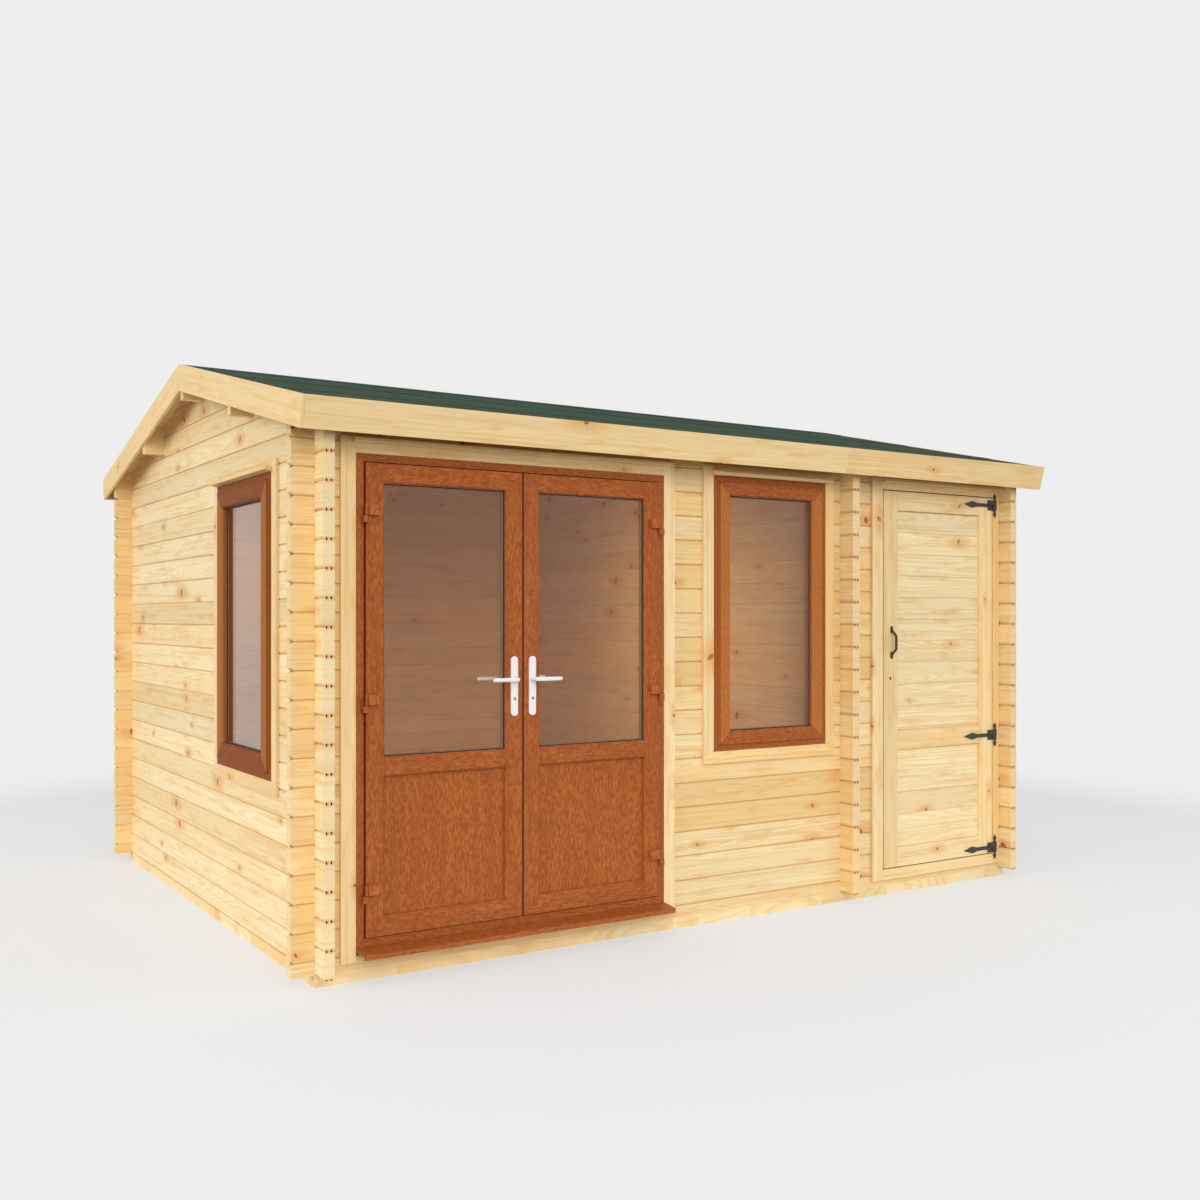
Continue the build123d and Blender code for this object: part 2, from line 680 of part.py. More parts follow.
# gable walls and partition
purlins = [purlin(y) for y in (-wall_depth / 4, 0, wall_depth / 4)]
y0 = FRONT - log_overhang
y1 = BACK + log_overhang
corners = (FRONT, BACK - log_thickness)
side_y0 = FRONT + side_window_offset
side_y1 = side_y0 + side_window_width
RIDGE_JOINT = joint_above(RIDGE_UNDER, 0)
nodes["left_wall_front"] = cross_logs(y0, side_y0, LEFT, BASE, SIDE_HEAD, corners[:1], left=True)
nodes["left_wall_rear"] = cross_logs(side_y1, y1, LEFT, BASE, SIDE_HEAD, corners[1:], left=True)
nodes["left_wall_under_window"] = cross_logs(side_y0, side_y1, LEFT, BASE, SIDE_SILL, left=True)
gables = {
    "left_wall_top": cross_logs(y0, y1, LEFT, SIDE_HEAD, RIDGE_JOINT, corners, left=True),
    "right_wall": cross_logs(y0, y1, right_corner, BASE, RIDGE_JOINT, corners, right=True),
    "partition_wall": cross_logs(y0, y1, PARTITION, BASE, RIDGE_JOINT, corners),
}
for name, wall in gables.items():
    nodes[name] = wall - above - purlins

# roof
nodes["purlins"] = Part() + purlins
boards = slope_layer(-VERGE, VERGE, EAVES_END, 0, roof_board)
nodes["front_roof_boards"] = boards
nodes["rear_roof_boards"] = mirrored_slope(boards)
cover = slope_layer(-VERGE, VERGE, EAVES_END, roof_board, ROOF_TOP)
nodes["roof_felt"] = cover + mirrored_slope(cover)
nodes["barge_boards"] = Part() + [edge_boards(-1), edge_boards(1)]
nodes["fascia_boards"] = Part() + [fascia(), mirrored_slope(fascia())]

# double door
to_front = Pos(0, FRONT, 0)
nodes["door_frame"] = to_front * door_frame()
nodes["door_sill"] = to_front * sill()
body, pane = leaf()
nodes["left_leaf"] = left_hand(body)
nodes["left_leaf_glass"] = left_hand(pane)
nodes["left_handle_plates"] = left_hand(handle_plates())
nodes["left_lever"] = left_hand(lever_pair())
nodes["right_leaf"] = right_hand(body)
nodes["right_leaf_glass"] = right_hand(pane)
nodes["right_handle_plates"] = right_hand(handle_plates())
nodes["right_lever"] = right_hand(lever_pair())
door_trim = surround(DOOR_X0, DOOR_X1, HALF_LOG - trim_drop, DOOR_Z1, door_trim_width, door_head_trim, 0)
door_trim += rain_bar(DOOR_X0 - trim, DOOR_X1 + 2 * trim, DOOR_Z1 + door_head_trim - rain_bar_height)
nodes["door_trim"] = to_front * door_trim

# windows
frame, front_glass = window_unit(front_window_width, window_height, window_face)
front_place = Pos(WINDOW_X0, FRONT, FRONT_SILL)
nodes["front_window"] = front_place * frame
side_frame, side_glass = window_unit(side_window_width, window_height, side_window_face)
side_place = Pos(LEFT, side_y1, SIDE_SILL) * Rot(0, 0, -90)
nodes["side_window"] = side_place * side_frame
nodes["window_glass"] = Part() + [front_place * front_glass, side_place * side_glass]
trims = []
for width, place in ((front_window_width, front_place), (side_window_width, side_place)):
    ring = surround(0, width, 0, window_height, window_trim_width, window_head_trim, window_trim_width)
    trims.append(place * (ring + rain_bar(-trim, width + trim, window_height)))
nodes["window_trims"] = Part() + trims

# store door
nodes["store_door_frame"] = to_front * store_frame()
nodes["store_door_leaf"] = place_store(store_leaf())
nodes["store_hinge_straps"] = place_store(strap_hinges())
nodes["store_hinge_plates"] = place_store(hinge_plates())
nodes["store_door_pull"] = place_store(store_pull())
store_low = HALF_LOG - trim_drop
store_high = FRONT_HEAD - store_lining
store_trim = block(STORE_IN0 - store_trim_width, right_corner, -trim, 0, store_low, store_high + store_head_trim)
store_trim -= block(STORE_IN0, STORE_IN1, -trim - 1, 1, store_low - 1, store_high)
bar_low = store_high + store_head_trim - rain_bar_height
store_trim += rain_bar(STORE_IN0, right_corner, bar_low)
nodes["store_door_trim"] = to_front * store_trim

os.makedirs("parts", exist_ok=True)
for name, part in nodes.items():
    part.label = name
    export_step(part, f"parts/{name}.step")
print(len(nodes), "nodes")
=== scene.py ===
import math
import bmesh
import bpy
import numpy as np
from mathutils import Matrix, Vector


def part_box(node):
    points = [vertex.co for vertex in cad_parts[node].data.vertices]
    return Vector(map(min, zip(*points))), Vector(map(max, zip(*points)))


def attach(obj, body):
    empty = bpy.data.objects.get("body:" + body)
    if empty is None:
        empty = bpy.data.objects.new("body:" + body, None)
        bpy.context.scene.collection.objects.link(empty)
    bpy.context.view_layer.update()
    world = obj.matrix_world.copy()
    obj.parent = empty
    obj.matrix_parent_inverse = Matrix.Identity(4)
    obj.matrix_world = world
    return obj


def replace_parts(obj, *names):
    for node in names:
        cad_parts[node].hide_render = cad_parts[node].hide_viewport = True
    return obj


# Finishes and fittings of a garden log cabin: planed pine logs and boards, golden oak plastic doors
# and windows, a boarded store door and mineral felt. Metres. X runs along the front wall, +Y into the
# cabin, +Z up.

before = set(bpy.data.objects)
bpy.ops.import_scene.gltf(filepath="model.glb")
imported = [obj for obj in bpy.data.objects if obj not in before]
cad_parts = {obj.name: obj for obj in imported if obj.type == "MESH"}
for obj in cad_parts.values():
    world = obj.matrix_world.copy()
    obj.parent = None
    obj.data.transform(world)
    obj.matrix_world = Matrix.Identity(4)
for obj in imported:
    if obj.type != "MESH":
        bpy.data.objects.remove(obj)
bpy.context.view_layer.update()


def span(node):
    """Lowest and highest corner of a CAD node, as arrays."""
    low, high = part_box(node)
    return np.array(low), np.array(high)


# ---------------- sizes read from the CAD model

WALL_LOW, WALL_HIGH = span("front_wall_base")
COURSE = 2 * (WALL_HIGH[2] - WALL_LOW[2])
BASE = WALL_LOW[2]
LOG = WALL_HIGH[1] - WALL_LOW[1]
FRONT = WALL_LOW[1]
BACK = -FRONT
LEFT = span("left_wall_under_window")[0][0]
RIGHT = -LEFT
PARTITION = span("partition_wall")[0][0]

# ---------------- sizes of the boards and fittings

BOARD_WIDTH = 0.088         # floor and roof boards
FLOOR_GAP = 0.0008          # between two floor boards
ROOF_GAP = 0.0006
ROOF_BOARD = 0.019          # thickness
ARRIS = 0.0015              # rounding of a planed board's edges
DOOR_ARRIS = 0.002          # on the store door's stiles and rails
PANEL_ARRIS = 0.003         # on the boards between them
SHIFT_STEP = 0.754877       # share of SHIFT_REACH by which each board's grain is moved on
SHIFT_REACH = 40
KNOT_CELL = (0.34, 0.1)     # length and width of a face's share that has one chance of a knot
END_FACING = 0.7            # a face that looks along the grain more than this is end grain
CARCASS_SEED = 900.0        # first board number of the floor's and roof's bearing timbers
FELT_SHEET = 0.0019         # thickness of one layer
FELT_LAP = 0.075
FELT_EXPOSED = 0.62         # from one lap's edge to the next
FELT_CAP = 0.16             # the ridge sheet's reach down each slope
FELT_RAMP = 0.03            # where a sheet climbs on to the one below it
FELT_RIPPLE = 0.0003        # height of the felt's waves
FELT_FADE = 0.1             # width along its edges over which they fade
FELT_NOSE = 0.004           # length by which the sheet thins at the eaves
CLOUT_SPACING = 0.055
CLOUT_RADIUS = 0.005
CLOUT_HEIGHT = 0.0012
CLOUT_INSET = 0.02          # from a sheet's lower edge
CLOUT_VERGE = 0.018         # from the verge
EDGE_BOARD_DEPTH = 0.120
FASCIA_JOINT = 0.62         # where two fascia boards meet
RAIN_BAR_HEIGHT = 0.021
STORE_LINING = 0.030
STORE_RAIL = 0.095          # width of the store door's stiles and rails
STORE_MID_RAIL = 0.628      # middle rail's centre above the leaf's bottom
STORE_BOARD = 0.018
STORE_BOARD_PITCH = 0.108
STORE_TONGUE = 0.004        # boards' reach into the stiles
STORE_SLIVER = 0.01         # a narrower board is not laid
STORE_GAP = 0.005           # round the store door
STORE_STOP = (0.015, 0.012)  # width and depth of the stops behind the store door
STRAP_THICK = 0.005
STRAP_LOW = 0.030           # lowest strap above the leaf's bottom
STRAP_MIDDLE = 0.620
STRAP_HIGH = 0.039          # highest strap below the leaf's top
STRAP_SCREWS = (0.062, 0.100, 0.138)  # back from the leaf's edge
PLATE_MIDDLE = 0.013        # from the frame's edge to the middle of a hinge plate
PLATE_SCREW = 0.044         # above and below a plate's middle
PULL_SCREW = 0.007          # from the pull's two ends
STRAP_HEAD = (0.0042, 0.0022)  # radius and height of the screw heads
PLATE_HEAD = (0.0036, 0.002)
PULL_HEAD = (0.0032, 0.0016)
PULL_FOOT = 0.0042          # thickness of the pull's feet
KEYHOLE = (0.005, 0.0085, 0.0006)  # half width, half length and height of its rim
KEYHOLE_INSET = 0.044
KEYHOLE_DROP = 0.1775       # below the pull's middle
GLASS_EDGE = 0.012          # part of a sealed unit inside its frame
GASKET = 0.0035
GASKET_TUCK = 0.0008        # gasket's reach under the frame
GASKET_RISES = (0.0001, 0.0012, 0.0032)  # its foot, its lip and its crown, off the glass
GLASS_SHEET = 0.004
SPACER = 0.006              # spacer bar's reach inside the gasket
SPACER_TUCK = 0.008
MEETING_SEAL_X = (-0.0005, 0.0032)  # from the left leaf's edge
MEETING_SEAL_Y = (-0.027, -0.020)   # from the front wall's face
WINDOW_FACE = 0.088
SIDE_WINDOW_FACE = 0.102
WINDOW_FRAME = 0.026        # fixed frame's face round the sash
LEAF_FACE = 0.075
DOOR_FRAME_FACE = 0.05
HANDLE_PLATE = 0.008        # thickness
LOCK_DROP = 0.078           # from the lever's spindle down to the lock cylinder
CYLINDER = (0.0068, 0.002)  # radius and height of a lock cylinder's end
KEYWAY_SLOT = (0.0012, 0.0042, 0.0006)  # half width, half length and height
HANDLE_SCREW = (0.0042, 0.0012)         # radius and height of a head
HANDLE_SCREW_INSET = 0.018  # from a plate's end
SUNK = 0.0005               # how far a head's foot lies in its plate
LEVER_BAR = (0.0055, 0.0085)  # half the bar's depth and half its height
LEVER_NECK = 0.0088         # radius of the stem where it bends
LEVER_BEND = 0.014
BUTT = (0.0009, 0.0003)     # how far from its middle a seam of the foil is gone, and is still full
WELD = (0.0026, 0.0012)     # the same for the wider groove of a window's welded mitre
UNMITRED = 5.0              # puts the mitres of a plain member far outside it
HINGE_LOW = 0.165           # leaf's bottom edge to the lowest flag hinge
HINGE_HIGH = 0.192          # leaf's top edge to the highest, with one halfway
HINGE_LENGTH = 0.066
HINGE_MOVING = 0.038        # height of the moving half
HINGE_CAP = (0.0145, 0.0585)  # from the knuckle's outer side to the cap's two ends
CAP_MARGIN = 0.001          # past the plate under the cap at both ends, and behind the knuckle's front
CAP_BACK = 0.0175           # from the knuckle's front to the cap's back
CAP_ARRIS = 0.0025
SLOT_SPACING = 0.009        # log centre to each of the two tongue slots
SLOT_WIDTH = 0.0025
SLOT_HEIGHT = 0.0048
END_BEVEL = 0.010           # V at the joints of the log ends along Y, each way
END_CORNER = 0.013          # corner cut off the log ends along X, each way
COURSES = 24                # more than any wall has
END_LEAST = 0.01            # shorter ends past a crossing wall stay square
PAST_WALL = 0.0003          # where the bevels start outside a crossing wall
PAST_END = 0.01             # how far the cutting bars run past a log's end

# ---------------- colours, linear

CREAM = (0.87, 0.73, 0.44)
GOLD = (0.82, 0.58, 0.26)
LATEWOOD = (0.70, 0.42, 0.15)
STREAK = (0.72, 0.41, 0.125)
HALO = (0.70, 0.32, 0.07)
KNOT_DARK = (0.19, 0.042, 0.014)
KNOT_RED = (0.50, 0.16, 0.04)
KNOT_RIM = (0.17, 0.045, 0.016)
END_GRAIN = (0.84, 0.66, 0.38)
JOINT_SHADE = (0.62, 0.29, 0.08)
SLOT_SHADE = (0.03, 0.012, 0.005)
OAK = (0.46, 0.134, 0.029)
OAK_DEEP = (0.29, 0.070, 0.015)
OAK_PALE = (0.50, 0.150, 0.034)
OAK_PORE = (0.15, 0.030, 0.008)
# painted light on the sloping face of a sash's stiles
OAK_STILE_LIT = (0.56, 0.22, 0.045)
OAK_SEAM = (0.05, 0.015, 0.006)
FELT_DARK = (0.021, 0.047, 0.026)
FELT_LIGHT = (0.052, 0.101, 0.062)
FELT_GLINT = (0.10, 0.13, 0.095)
BITUMEN = (0.012, 0.016, 0.012)
GLASS_TINT = (0.98, 0.86, 0.76)
GLASS_SHADOW = (0.98, 0.95, 0.91)
BACKGROUND = (0.855, 0.855, 0.86)
FLOOR_TONE = (0.78, 0.79, 0.80)
FLOOR_GLOW = (0.92, 0.92, 0.925)
FLOOR_FADE = (2.6, 6.5)     # distances from the middle over which it turns into the background
NEUTRAL = (1.0, 1.0, 1.0)
WARM = (1.0, 0.78, 0.56)

# ---------------- node trees


class Net:
    """A hand for laying out one node tree: a call adds a node and mostly gives back its output."""

    def __init__(self, tree):
        self.tree = tree

    def fill(self, socket, value):
        """Link an output to a socket, or set the socket's own value."""
        if isinstance(value, bpy.types.NodeSocket):
            self.tree.links.new(value, socket)
        elif socket.type == "RGBA":
            socket.default_value = (*value, 1)
        else:
            socket.default_value = value

    def add(self, kind, values=None, **settings):
        """A node with its settings made and its inputs filled."""
        node = self.tree.nodes.new(kind)
        for key, value in settings.items():
            setattr(node, key, value)
        for key, value in (values or {}).items():
            self.fill(node.inputs[key], value)
        return node

    def math(self, operation, *values):
        node = self.add("ShaderNodeMath", operation=operation)
        for socket, value in zip(node.inputs, values):
            self.fill(socket, value)
        return node.outputs[0]

    def sum(self, a, b):
        return self.math("ADD", a, b)

    def times(self, a, b):
        return self.math("MULTIPLY", a, b)

    def minus(self, a, b):
        return self.math("SUBTRACT", a, b)

    def less(self, a, b):
        return self.math("LESS_THAN", a, b)

    def above(self, a, b):
        return self.math("GREATER_THAN", a, b)

    def smaller(self, a, b):
        return self.math("MINIMUM", a, b)

    def larger(self, a, b):
        return self.math("MAXIMUM", a, b)

    def absolute(self, value):
        return self.math("ABSOLUTE", value)

    def scaled(self, value, factor, offset):
        """A value times a factor, plus an offset."""
        return self.math("MULTIPLY_ADD", value, factor, offset)

    def hypotenuse(self, a, b):
        return self.math("SQRT", self.sum(self.times(a, a), self.times(b, b)))

    def vector(self, operation, *values):
        node = self.add("ShaderNodeVectorMath", operation=operation)
        for socket, value in zip(node.inputs, values):
            self.fill(socket, value)
        return node.outputs[0]

    def split(self, value):
        node = self.add("ShaderNodeSeparateXYZ", {0: value})
        return node.outputs[0], node.outputs[1], node.outputs[2]

    def join(self, x, y, z):
        return self.add("ShaderNodeCombineXYZ", {0: x, 1: y, 2: z}).outputs[0]

    def ease(self, value, low, high, start=0.0, end=1.0):
        """Smooth step of a value from low to high."""
        values = {"Value": value, 1: low, 2: high, 3: start, 4: end}
        return self.add("ShaderNodeMapRange", values, interpolation_type="SMOOTHSTEP").outputs[0]

    def noise(self, where, scale=1.0, detail=2.0, rough=0.5):
        """Soft noise, about 0.5."""
        values = {"Vector": where, "Scale": scale, "Detail": detail, "Roughness": rough}
        return self.add("ShaderNodeTexNoise", values).outputs[0]

    def luck(self, number):
        """Three random values that belong to a number."""
        node = self.add("ShaderNodeTexWhiteNoise", {"W": number}, noise_dimensions="1D")
        return self.split(node.outputs["Color"])

    def blend(self, factor, a, b, kind="MIX"):
        """Mix of two colours."""
        node = self.add("ShaderNodeMix", {0: factor, 6: a, 7: b}, data_type="RGBA", blend_type=kind)
        return node.outputs[2]

    def switch(self, factor, a, b):
        """Mix of two vectors."""
        node = self.add("ShaderNodeMix", {0: factor, 4: a, 5: b}, data_type="VECTOR")
        return node.outputs[1]

    def shade(self, colour, factor):
        """A colour made lighter or darker by a factor."""
        return self.blend(1.0, colour, self.join(factor, factor, factor), "MULTIPLY")

    def carried(self, name, output):
        """A value that the mesh carries."""
        return self.add("ShaderNodeAttribute", attribute_name=name).outputs[output]

    def seen(self):
        """1 for what the camera sees, also in gloss and through glass."""
        path = self.add("ShaderNodeLightPath").outputs
        direct = self.larger(path["Is Camera Ray"], path["Is Glossy Ray"])
        return self.larger(direct, path["Is Transmission Ray"])

    def two_shaders(self, factor, one, two):
        """A mix of the outputs of two shader nodes."""
        values = {0: factor, 1: one.outputs[0], 2: two.outputs[0]}
        return self.add("ShaderNodeMixShader", values)

    def show(self, shader, kind="Material"):
        """Send a shader node to the surface of a material or world."""
        output = self.add("ShaderNodeOutput" + kind)
        self.tree.links.new(shader.outputs[0], output.inputs["Surface"])


def blank_net(owner):
    """The net of a new material or world, emptied."""
    owner.use_nodes = True
    owner.node_tree.nodes.clear()
    return Net(owner.node_tree)


def new_group(name, inputs, outputs):
    """An empty node group with named sockets; gives its tree, its net, its inputs and its outputs."""
    tree = bpy.data.node_groups.new(name, "ShaderNodeTree")
    for way, sockets in (("INPUT", inputs), ("OUTPUT", outputs)):
        for label, kind in sockets.items():
            tree.interface.new_socket(label, in_out=way, socket_type="NodeSocket" + kind)
    net = Net(tree)
    given = net.add("NodeGroupInput").outputs
    result = net.add("NodeGroupOutput").inputs
    return tree, net, given, result


def pine_group():
    """Planed pine: growth rings round a drifting heart, knots with halos, fine fibre, end grain.

    Place is metres along, across and into the board, Board is its number, End is 1 on end grain and
    Gold says how far the wood has turned from cream to gold.
    """
    inputs = {"Place": "Vector", "Board": "Float", "End": "Float", "Gold": "Float"}
    outputs = {"Color": "Color", "Roughness": "Float", "Height": "Float"}
    tree, net, given, result = new_group("planed pine", inputs, outputs)
    along, across, into = net.split(given["Place"])
    luck_a, luck_b, luck_c = net.luck(given["Board"])
    tone, warmth, start = net.luck(net.sum(given["Board"], 0.37))

    def streaks(run, side, third, detail=3.0, rough=0.5):
        """Noise drawn out along the grain, with so many cells a metre along and across."""
        where = net.join(net.times(along, run), net.times(across, side), third)
        return net.noise(where, 1.0, detail, rough)

    # one chance of a knot in each cell of the face; its place and radius are in metres
    run, row = KNOT_CELL
    cell_x = net.scaled(along, 1 / run, net.times(start, 57.0))
    cell_y = net.scaled(across, 1 / row, net.times(given["Board"], 7.13))
    cell = net.join(cell_x, cell_y, 0.0)
    spots = net.add("ShaderNodeTexVoronoi", {"Vector": cell, "Scale": 1.0, "Randomness": 0.85},
                    voronoi_dimensions="2D")
    off_x, off_y, _ = net.split(net.vector("SUBTRACT", spots.outputs["Position"], cell))
    off_x = net.times(off_x, run)
    off_y = net.times(off_y, row)
    chance, size, lean = net.split(spots.outputs["Color"])
    there = net.above(chance, 0.80)
    radius = net.scaled(net.times(size, size), 0.013, 0.0065)
    wobble = net.times(net.minus(net.noise(given["Place"], 70.0), 0.5), 0.008)
    tilted = net.sum(off_x, net.times(off_y, net.scaled(lean, 1.2, -0.6)))
    narrow_x = net.times(tilted, 1.35)
    reach = net.hypotenuse(narrow_x, off_y)
    near = net.math("DIVIDE", net.sum(reach, wobble), radius)
    long_x = net.times(off_x, 0.42)
    long_reach = net.hypotenuse(long_x, off_y)
    stretched = net.math("DIVIDE", net.sum(long_reach, wobble), radius)
    knot = net.times(there, net.ease(near, 1.1, 0.85))
    rim = net.times(there, net.times(net.ease(near, 0.65, 0.95), net.ease(near, 1.25, 1.0)))
    halo = net.times(there, net.ease(stretched, 4.2, 0.7))

    # growth rings: distance from the heart, which drifts along the board, over the ring's width
    drift = net.noise(net.join(net.times(along, 0.55), net.times(given["Board"], 3.7), 0.0), 1.0, 1.0)
    heart_y = net.scaled(drift, 0.16, net.scaled(luck_a, 0.1, -0.13))
    heart_z = net.scaled(drift, 0.1, net.scaled(luck_b, 0.08, -0.02))
    rise = net.minus(across, heart_y)
    depth = net.sum(into, heart_z)
    ring = net.hypotenuse(rise, depth)
    flow = streaks(2.2, 22.0, net.times(into, 22.0), 2.0)
    ring = net.sum(ring, net.times(flow, 0.009))
    ring = net.sum(ring, net.times(halo, 0.011))
    pitch = net.scaled(luck_c, 0.0034, 0.003)
    turn = net.math("FRACT", net.math("DIVIDE", ring, pitch))
    late = net.times(net.ease(turn, 0.25, 0.85), net.ease(turn, 1.0, 0.9))

    numbered = net.times(given["Board"], 5.3)
    fibre = streaks(9.0, 520.0, net.times(into, 520.0), rough=0.6)
    cloud = streaks(1.6, 14.0, numbered)
    band = net.ease(streaks(1.1, 62.0, net.sum(numbered, into), rough=0.6), 0.46, 0.74)
    stain = net.ease(streaks(5.0, 26.0, numbered), 0.5, 0.78)

    gold = net.scaled(warmth, 0.9, net.minus(given["Gold"], 0.42))
    gold = net.add("ShaderNodeClamp", {"Value": gold}).outputs[0]
    early = net.blend(gold, CREAM, GOLD)
    colour = net.blend(net.times(late, net.scaled(cloud, 0.5, 0.12)), early, LATEWOOD)
    colour = net.blend(net.times(band, 0.55), colour, STREAK)
    colour = net.blend(net.times(stain, 0.6), colour, STREAK)
    level = net.sum(net.scaled(tone, 0.12, 0.89), net.times(cloud, 0.1))
    level = net.sum(level, net.scaled(fibre, 0.1, -0.05))
    colour = net.shade(colour, level)
    colour = net.blend(net.times(halo, 0.62), colour, HALO)
    core = net.blend(net.noise(given["Place"], 220.0, 2.0), KNOT_DARK, KNOT_RED)
    colour = net.blend(net.times(knot, 0.92), colour, core)
    colour = net.blend(net.times(rim, 0.6), colour, KNOT_RIM)
    sawn = net.shade(colour, net.scaled(net.noise(given["Place"], 700.0), 0.22, 0.84))
    sawn = net.blend(0.45, sawn, END_GRAIN)
    colour = net.blend(given["End"], colour, sawn)
    net.fill(result["Color"], colour)
    sheen = net.sum(net.times(fibre, 0.14), net.scaled(late, -0.08, 0.5))
    net.fill(result["Roughness"], net.sum(sheen, net.times(given["End"], 0.22)))
    height = net.sum(net.times(fibre, 0.5), net.times(late, 0.35))
    net.fill(result["Height"], net.sum(height, net.times(knot, 0.6)))
    return tree


def foil_group():
    """Golden oak foil on plastic: a stipple of short streaks along the member, with dark pores.

    Place is metres along, across and into the member, Member is its number and Tone its lightness.
    """
    inputs = {"Place": "Vector", "Member": "Float", "Tone": "Float"}
    outputs = {"Color": "Color", "Roughness": "Float", "Height": "Float"}
    tree, net, given, result = new_group("golden oak foil", inputs, outputs)
    along, across, into = net.split(given["Place"])
    shift = net.times(given["Member"], 3.17)

    def stretched(run, side, detail):
        """Noise with so many cells a metre along the member and across it."""
        place = net.join(net.scaled(along, run, shift), net.times(across, side), net.times(into, side))
        return net.noise(place, 1.0, detail, 0.6)

    broad = stretched(1.6, 24.0, 2.0)
    stipple = stretched(42.0, 120.0, 3.0)
    streak = stretched(14.0, 420.0, 2.0)
    pore = net.ease(stretched(95.0, 1300.0, 1.0), 0.58, 0.70)
    colour = net.blend(net.ease(stipple, 0.36, 0.66), OAK_DEEP, OAK)
    colour = net.blend(net.ease(streak, 0.5, 0.75, 0.0, 0.5), colour, OAK_PALE)
    colour = net.blend(net.ease(broad, 0.4, 0.65, 0.0, 0.35), colour, OAK_DEEP)
    colour = net.blend(net.times(pore, 0.5), colour, OAK_PORE)
    net.fill(result["Color"], net.shade(colour, given["Tone"]))
    net.fill(result["Roughness"], net.scaled(stipple, 0.16, 0.36))
    net.fill(result["Height"], net.scaled(pore, -0.7, net.times(stipple, 0.4)))
    return tree


def new_material(name, build, bump=0.0005, **plain):
    """A Principled material; build(net) gives Color, Roughness and Height sockets by name.

    Plain numbers are set on the shader's own sockets.
    """
    material = bpy.data.materials.new(name)
    net = blank_net(material)
    shader = net.add("ShaderNodeBsdfPrincipled")
    sockets = build(net)
    net.fill(shader.inputs["Base Color"], sockets["Color"])
    net.fill(shader.inputs["Roughness"], sockets["Roughness"])
    raised = net.add("ShaderNodeBump", {"Strength": 1.0, "Distance": bump, "Height": sockets["Height"]})
    net.fill(shader.inputs["Normal"], raised.outputs[0])
    for label, value in plain.items():
        shader.inputs[label.replace("_", " ")].default_value = value
    net.show(shader)
    return material


def place_group(net, tree, values):
    """A node group in a material, with its inputs filled."""
    node = net.add("ShaderNodeGroup", node_tree=tree)
    for label, value in values.items():
        net.fill(node.inputs[label], value)
    return node.outputs


PINE = pine_group()
FOIL = foil_group()


def log_material(name, run, mid, phase, seed, gold):
    """Pine logs in courses.

    run is the axis along the logs, mid the middle of the wall's thickness, phase the part of a
    course by which the joints are raised, seed the first log's number, and gold the wood's warmth.
    """
    def build(net):
        coords = net.add("ShaderNodeTexCoord").outputs
        place = net.split(coords["Object"])
        normal = net.split(coords["Normal"])
        courses = net.minus(net.times(net.minus(place[2], BASE), 1 / COURSE), phase)
        number = net.math("FLOOR", courses)
        across = net.times(net.minus(net.minus(courses, number), 0.5), COURSE)
        into = net.minus(place[1 - run], mid)
        end = net.above(net.absolute(normal[run]), END_FACING)
        along = net.join(place[run], across, into)
        board = net.sum(number, seed)
        wood = place_group(net, PINE, {"Place": along, "Board": board, "End": end, "Gold": gold})
        # distance to the nearest joint, and a dark line along it: the joint's own seam, with painted shade in
        # the groove between two logs
        joint = net.minus(COURSE / 2, net.absolute(across))
        line = net.ease(joint, 0.0034, 0.0008)
        # two slots over the tongues, open at the log ends
        sideways = net.absolute(net.minus(net.absolute(into), SLOT_SPACING))
        tall = net.ease(joint, SLOT_HEIGHT * 1.15, SLOT_HEIGHT)
        slot = net.times(net.times(net.ease(sideways, SLOT_WIDTH * 1.25, SLOT_WIDTH), tall), end)
        # the end grain is painted warmer between and round the slots
        glow = net.times(net.ease(joint, 0.016, 0.004), net.ease(net.absolute(into), 0.022, 0.012))
        colour = net.blend(net.times(net.times(glow, end), 0.45), wood["Color"], HALO)
        # painted shade along the joint, over the joint's own seam
        colour = net.blend(net.times(line, 0.5), colour, JOINT_SHADE)
        colour = net.blend(slot, colour, SLOT_SHADE)
        hollow = net.larger(net.times(line, 0.4), slot)
        height = net.scaled(hollow, -3.0, wood["Height"])
        return {"Color": colour, "Roughness": wood["Roughness"], "Height": height}
    return new_material(name, build)


def timber_material(name, gold):
    """Planed boards that carry their own place, number and end mask."""
    def build(net):
        place = net.carried("grain", "Vector")
        number = net.carried("board", "Fac")
        end = net.carried("end_grain", "Fac")
        return place_group(net, PINE, {"Place": place, "Board": number, "End": end, "Gold": gold})
    return new_material(name, build)


def carcass_material(name, lengthwise):
    """CAD timbers, square in section; lengthwise(net, y) is 1 where they run along X, 0 along Y."""
    def build(net):
        coords = net.add("ShaderNodeTexCoord").outputs
        x, y, z = net.split(coords["Object"])
        normal = net.split(coords["Normal"])
        along_x = lengthwise(net, y)
        place = net.switch(along_x, net.join(y, x, z), net.join(x, y, z))
        endwise = net.switch(along_x, net.join(normal[1], 0.0, 0.0), net.join(normal[0], 0.0, 0.0))
        end = net.above(net.absolute(net.split(endwise)[0]), END_FACING)
        number = net.math("FLOOR", net.sum(net.times(net.sum(x, y), 2.3), net.times(along_x, 40.0)))
        board = net.sum(number, CARCASS_SEED)
        return place_group(net, PINE, {"Place": place, "Board": board, "End": end, "Gold": 0.6})
    return new_material(name, build)


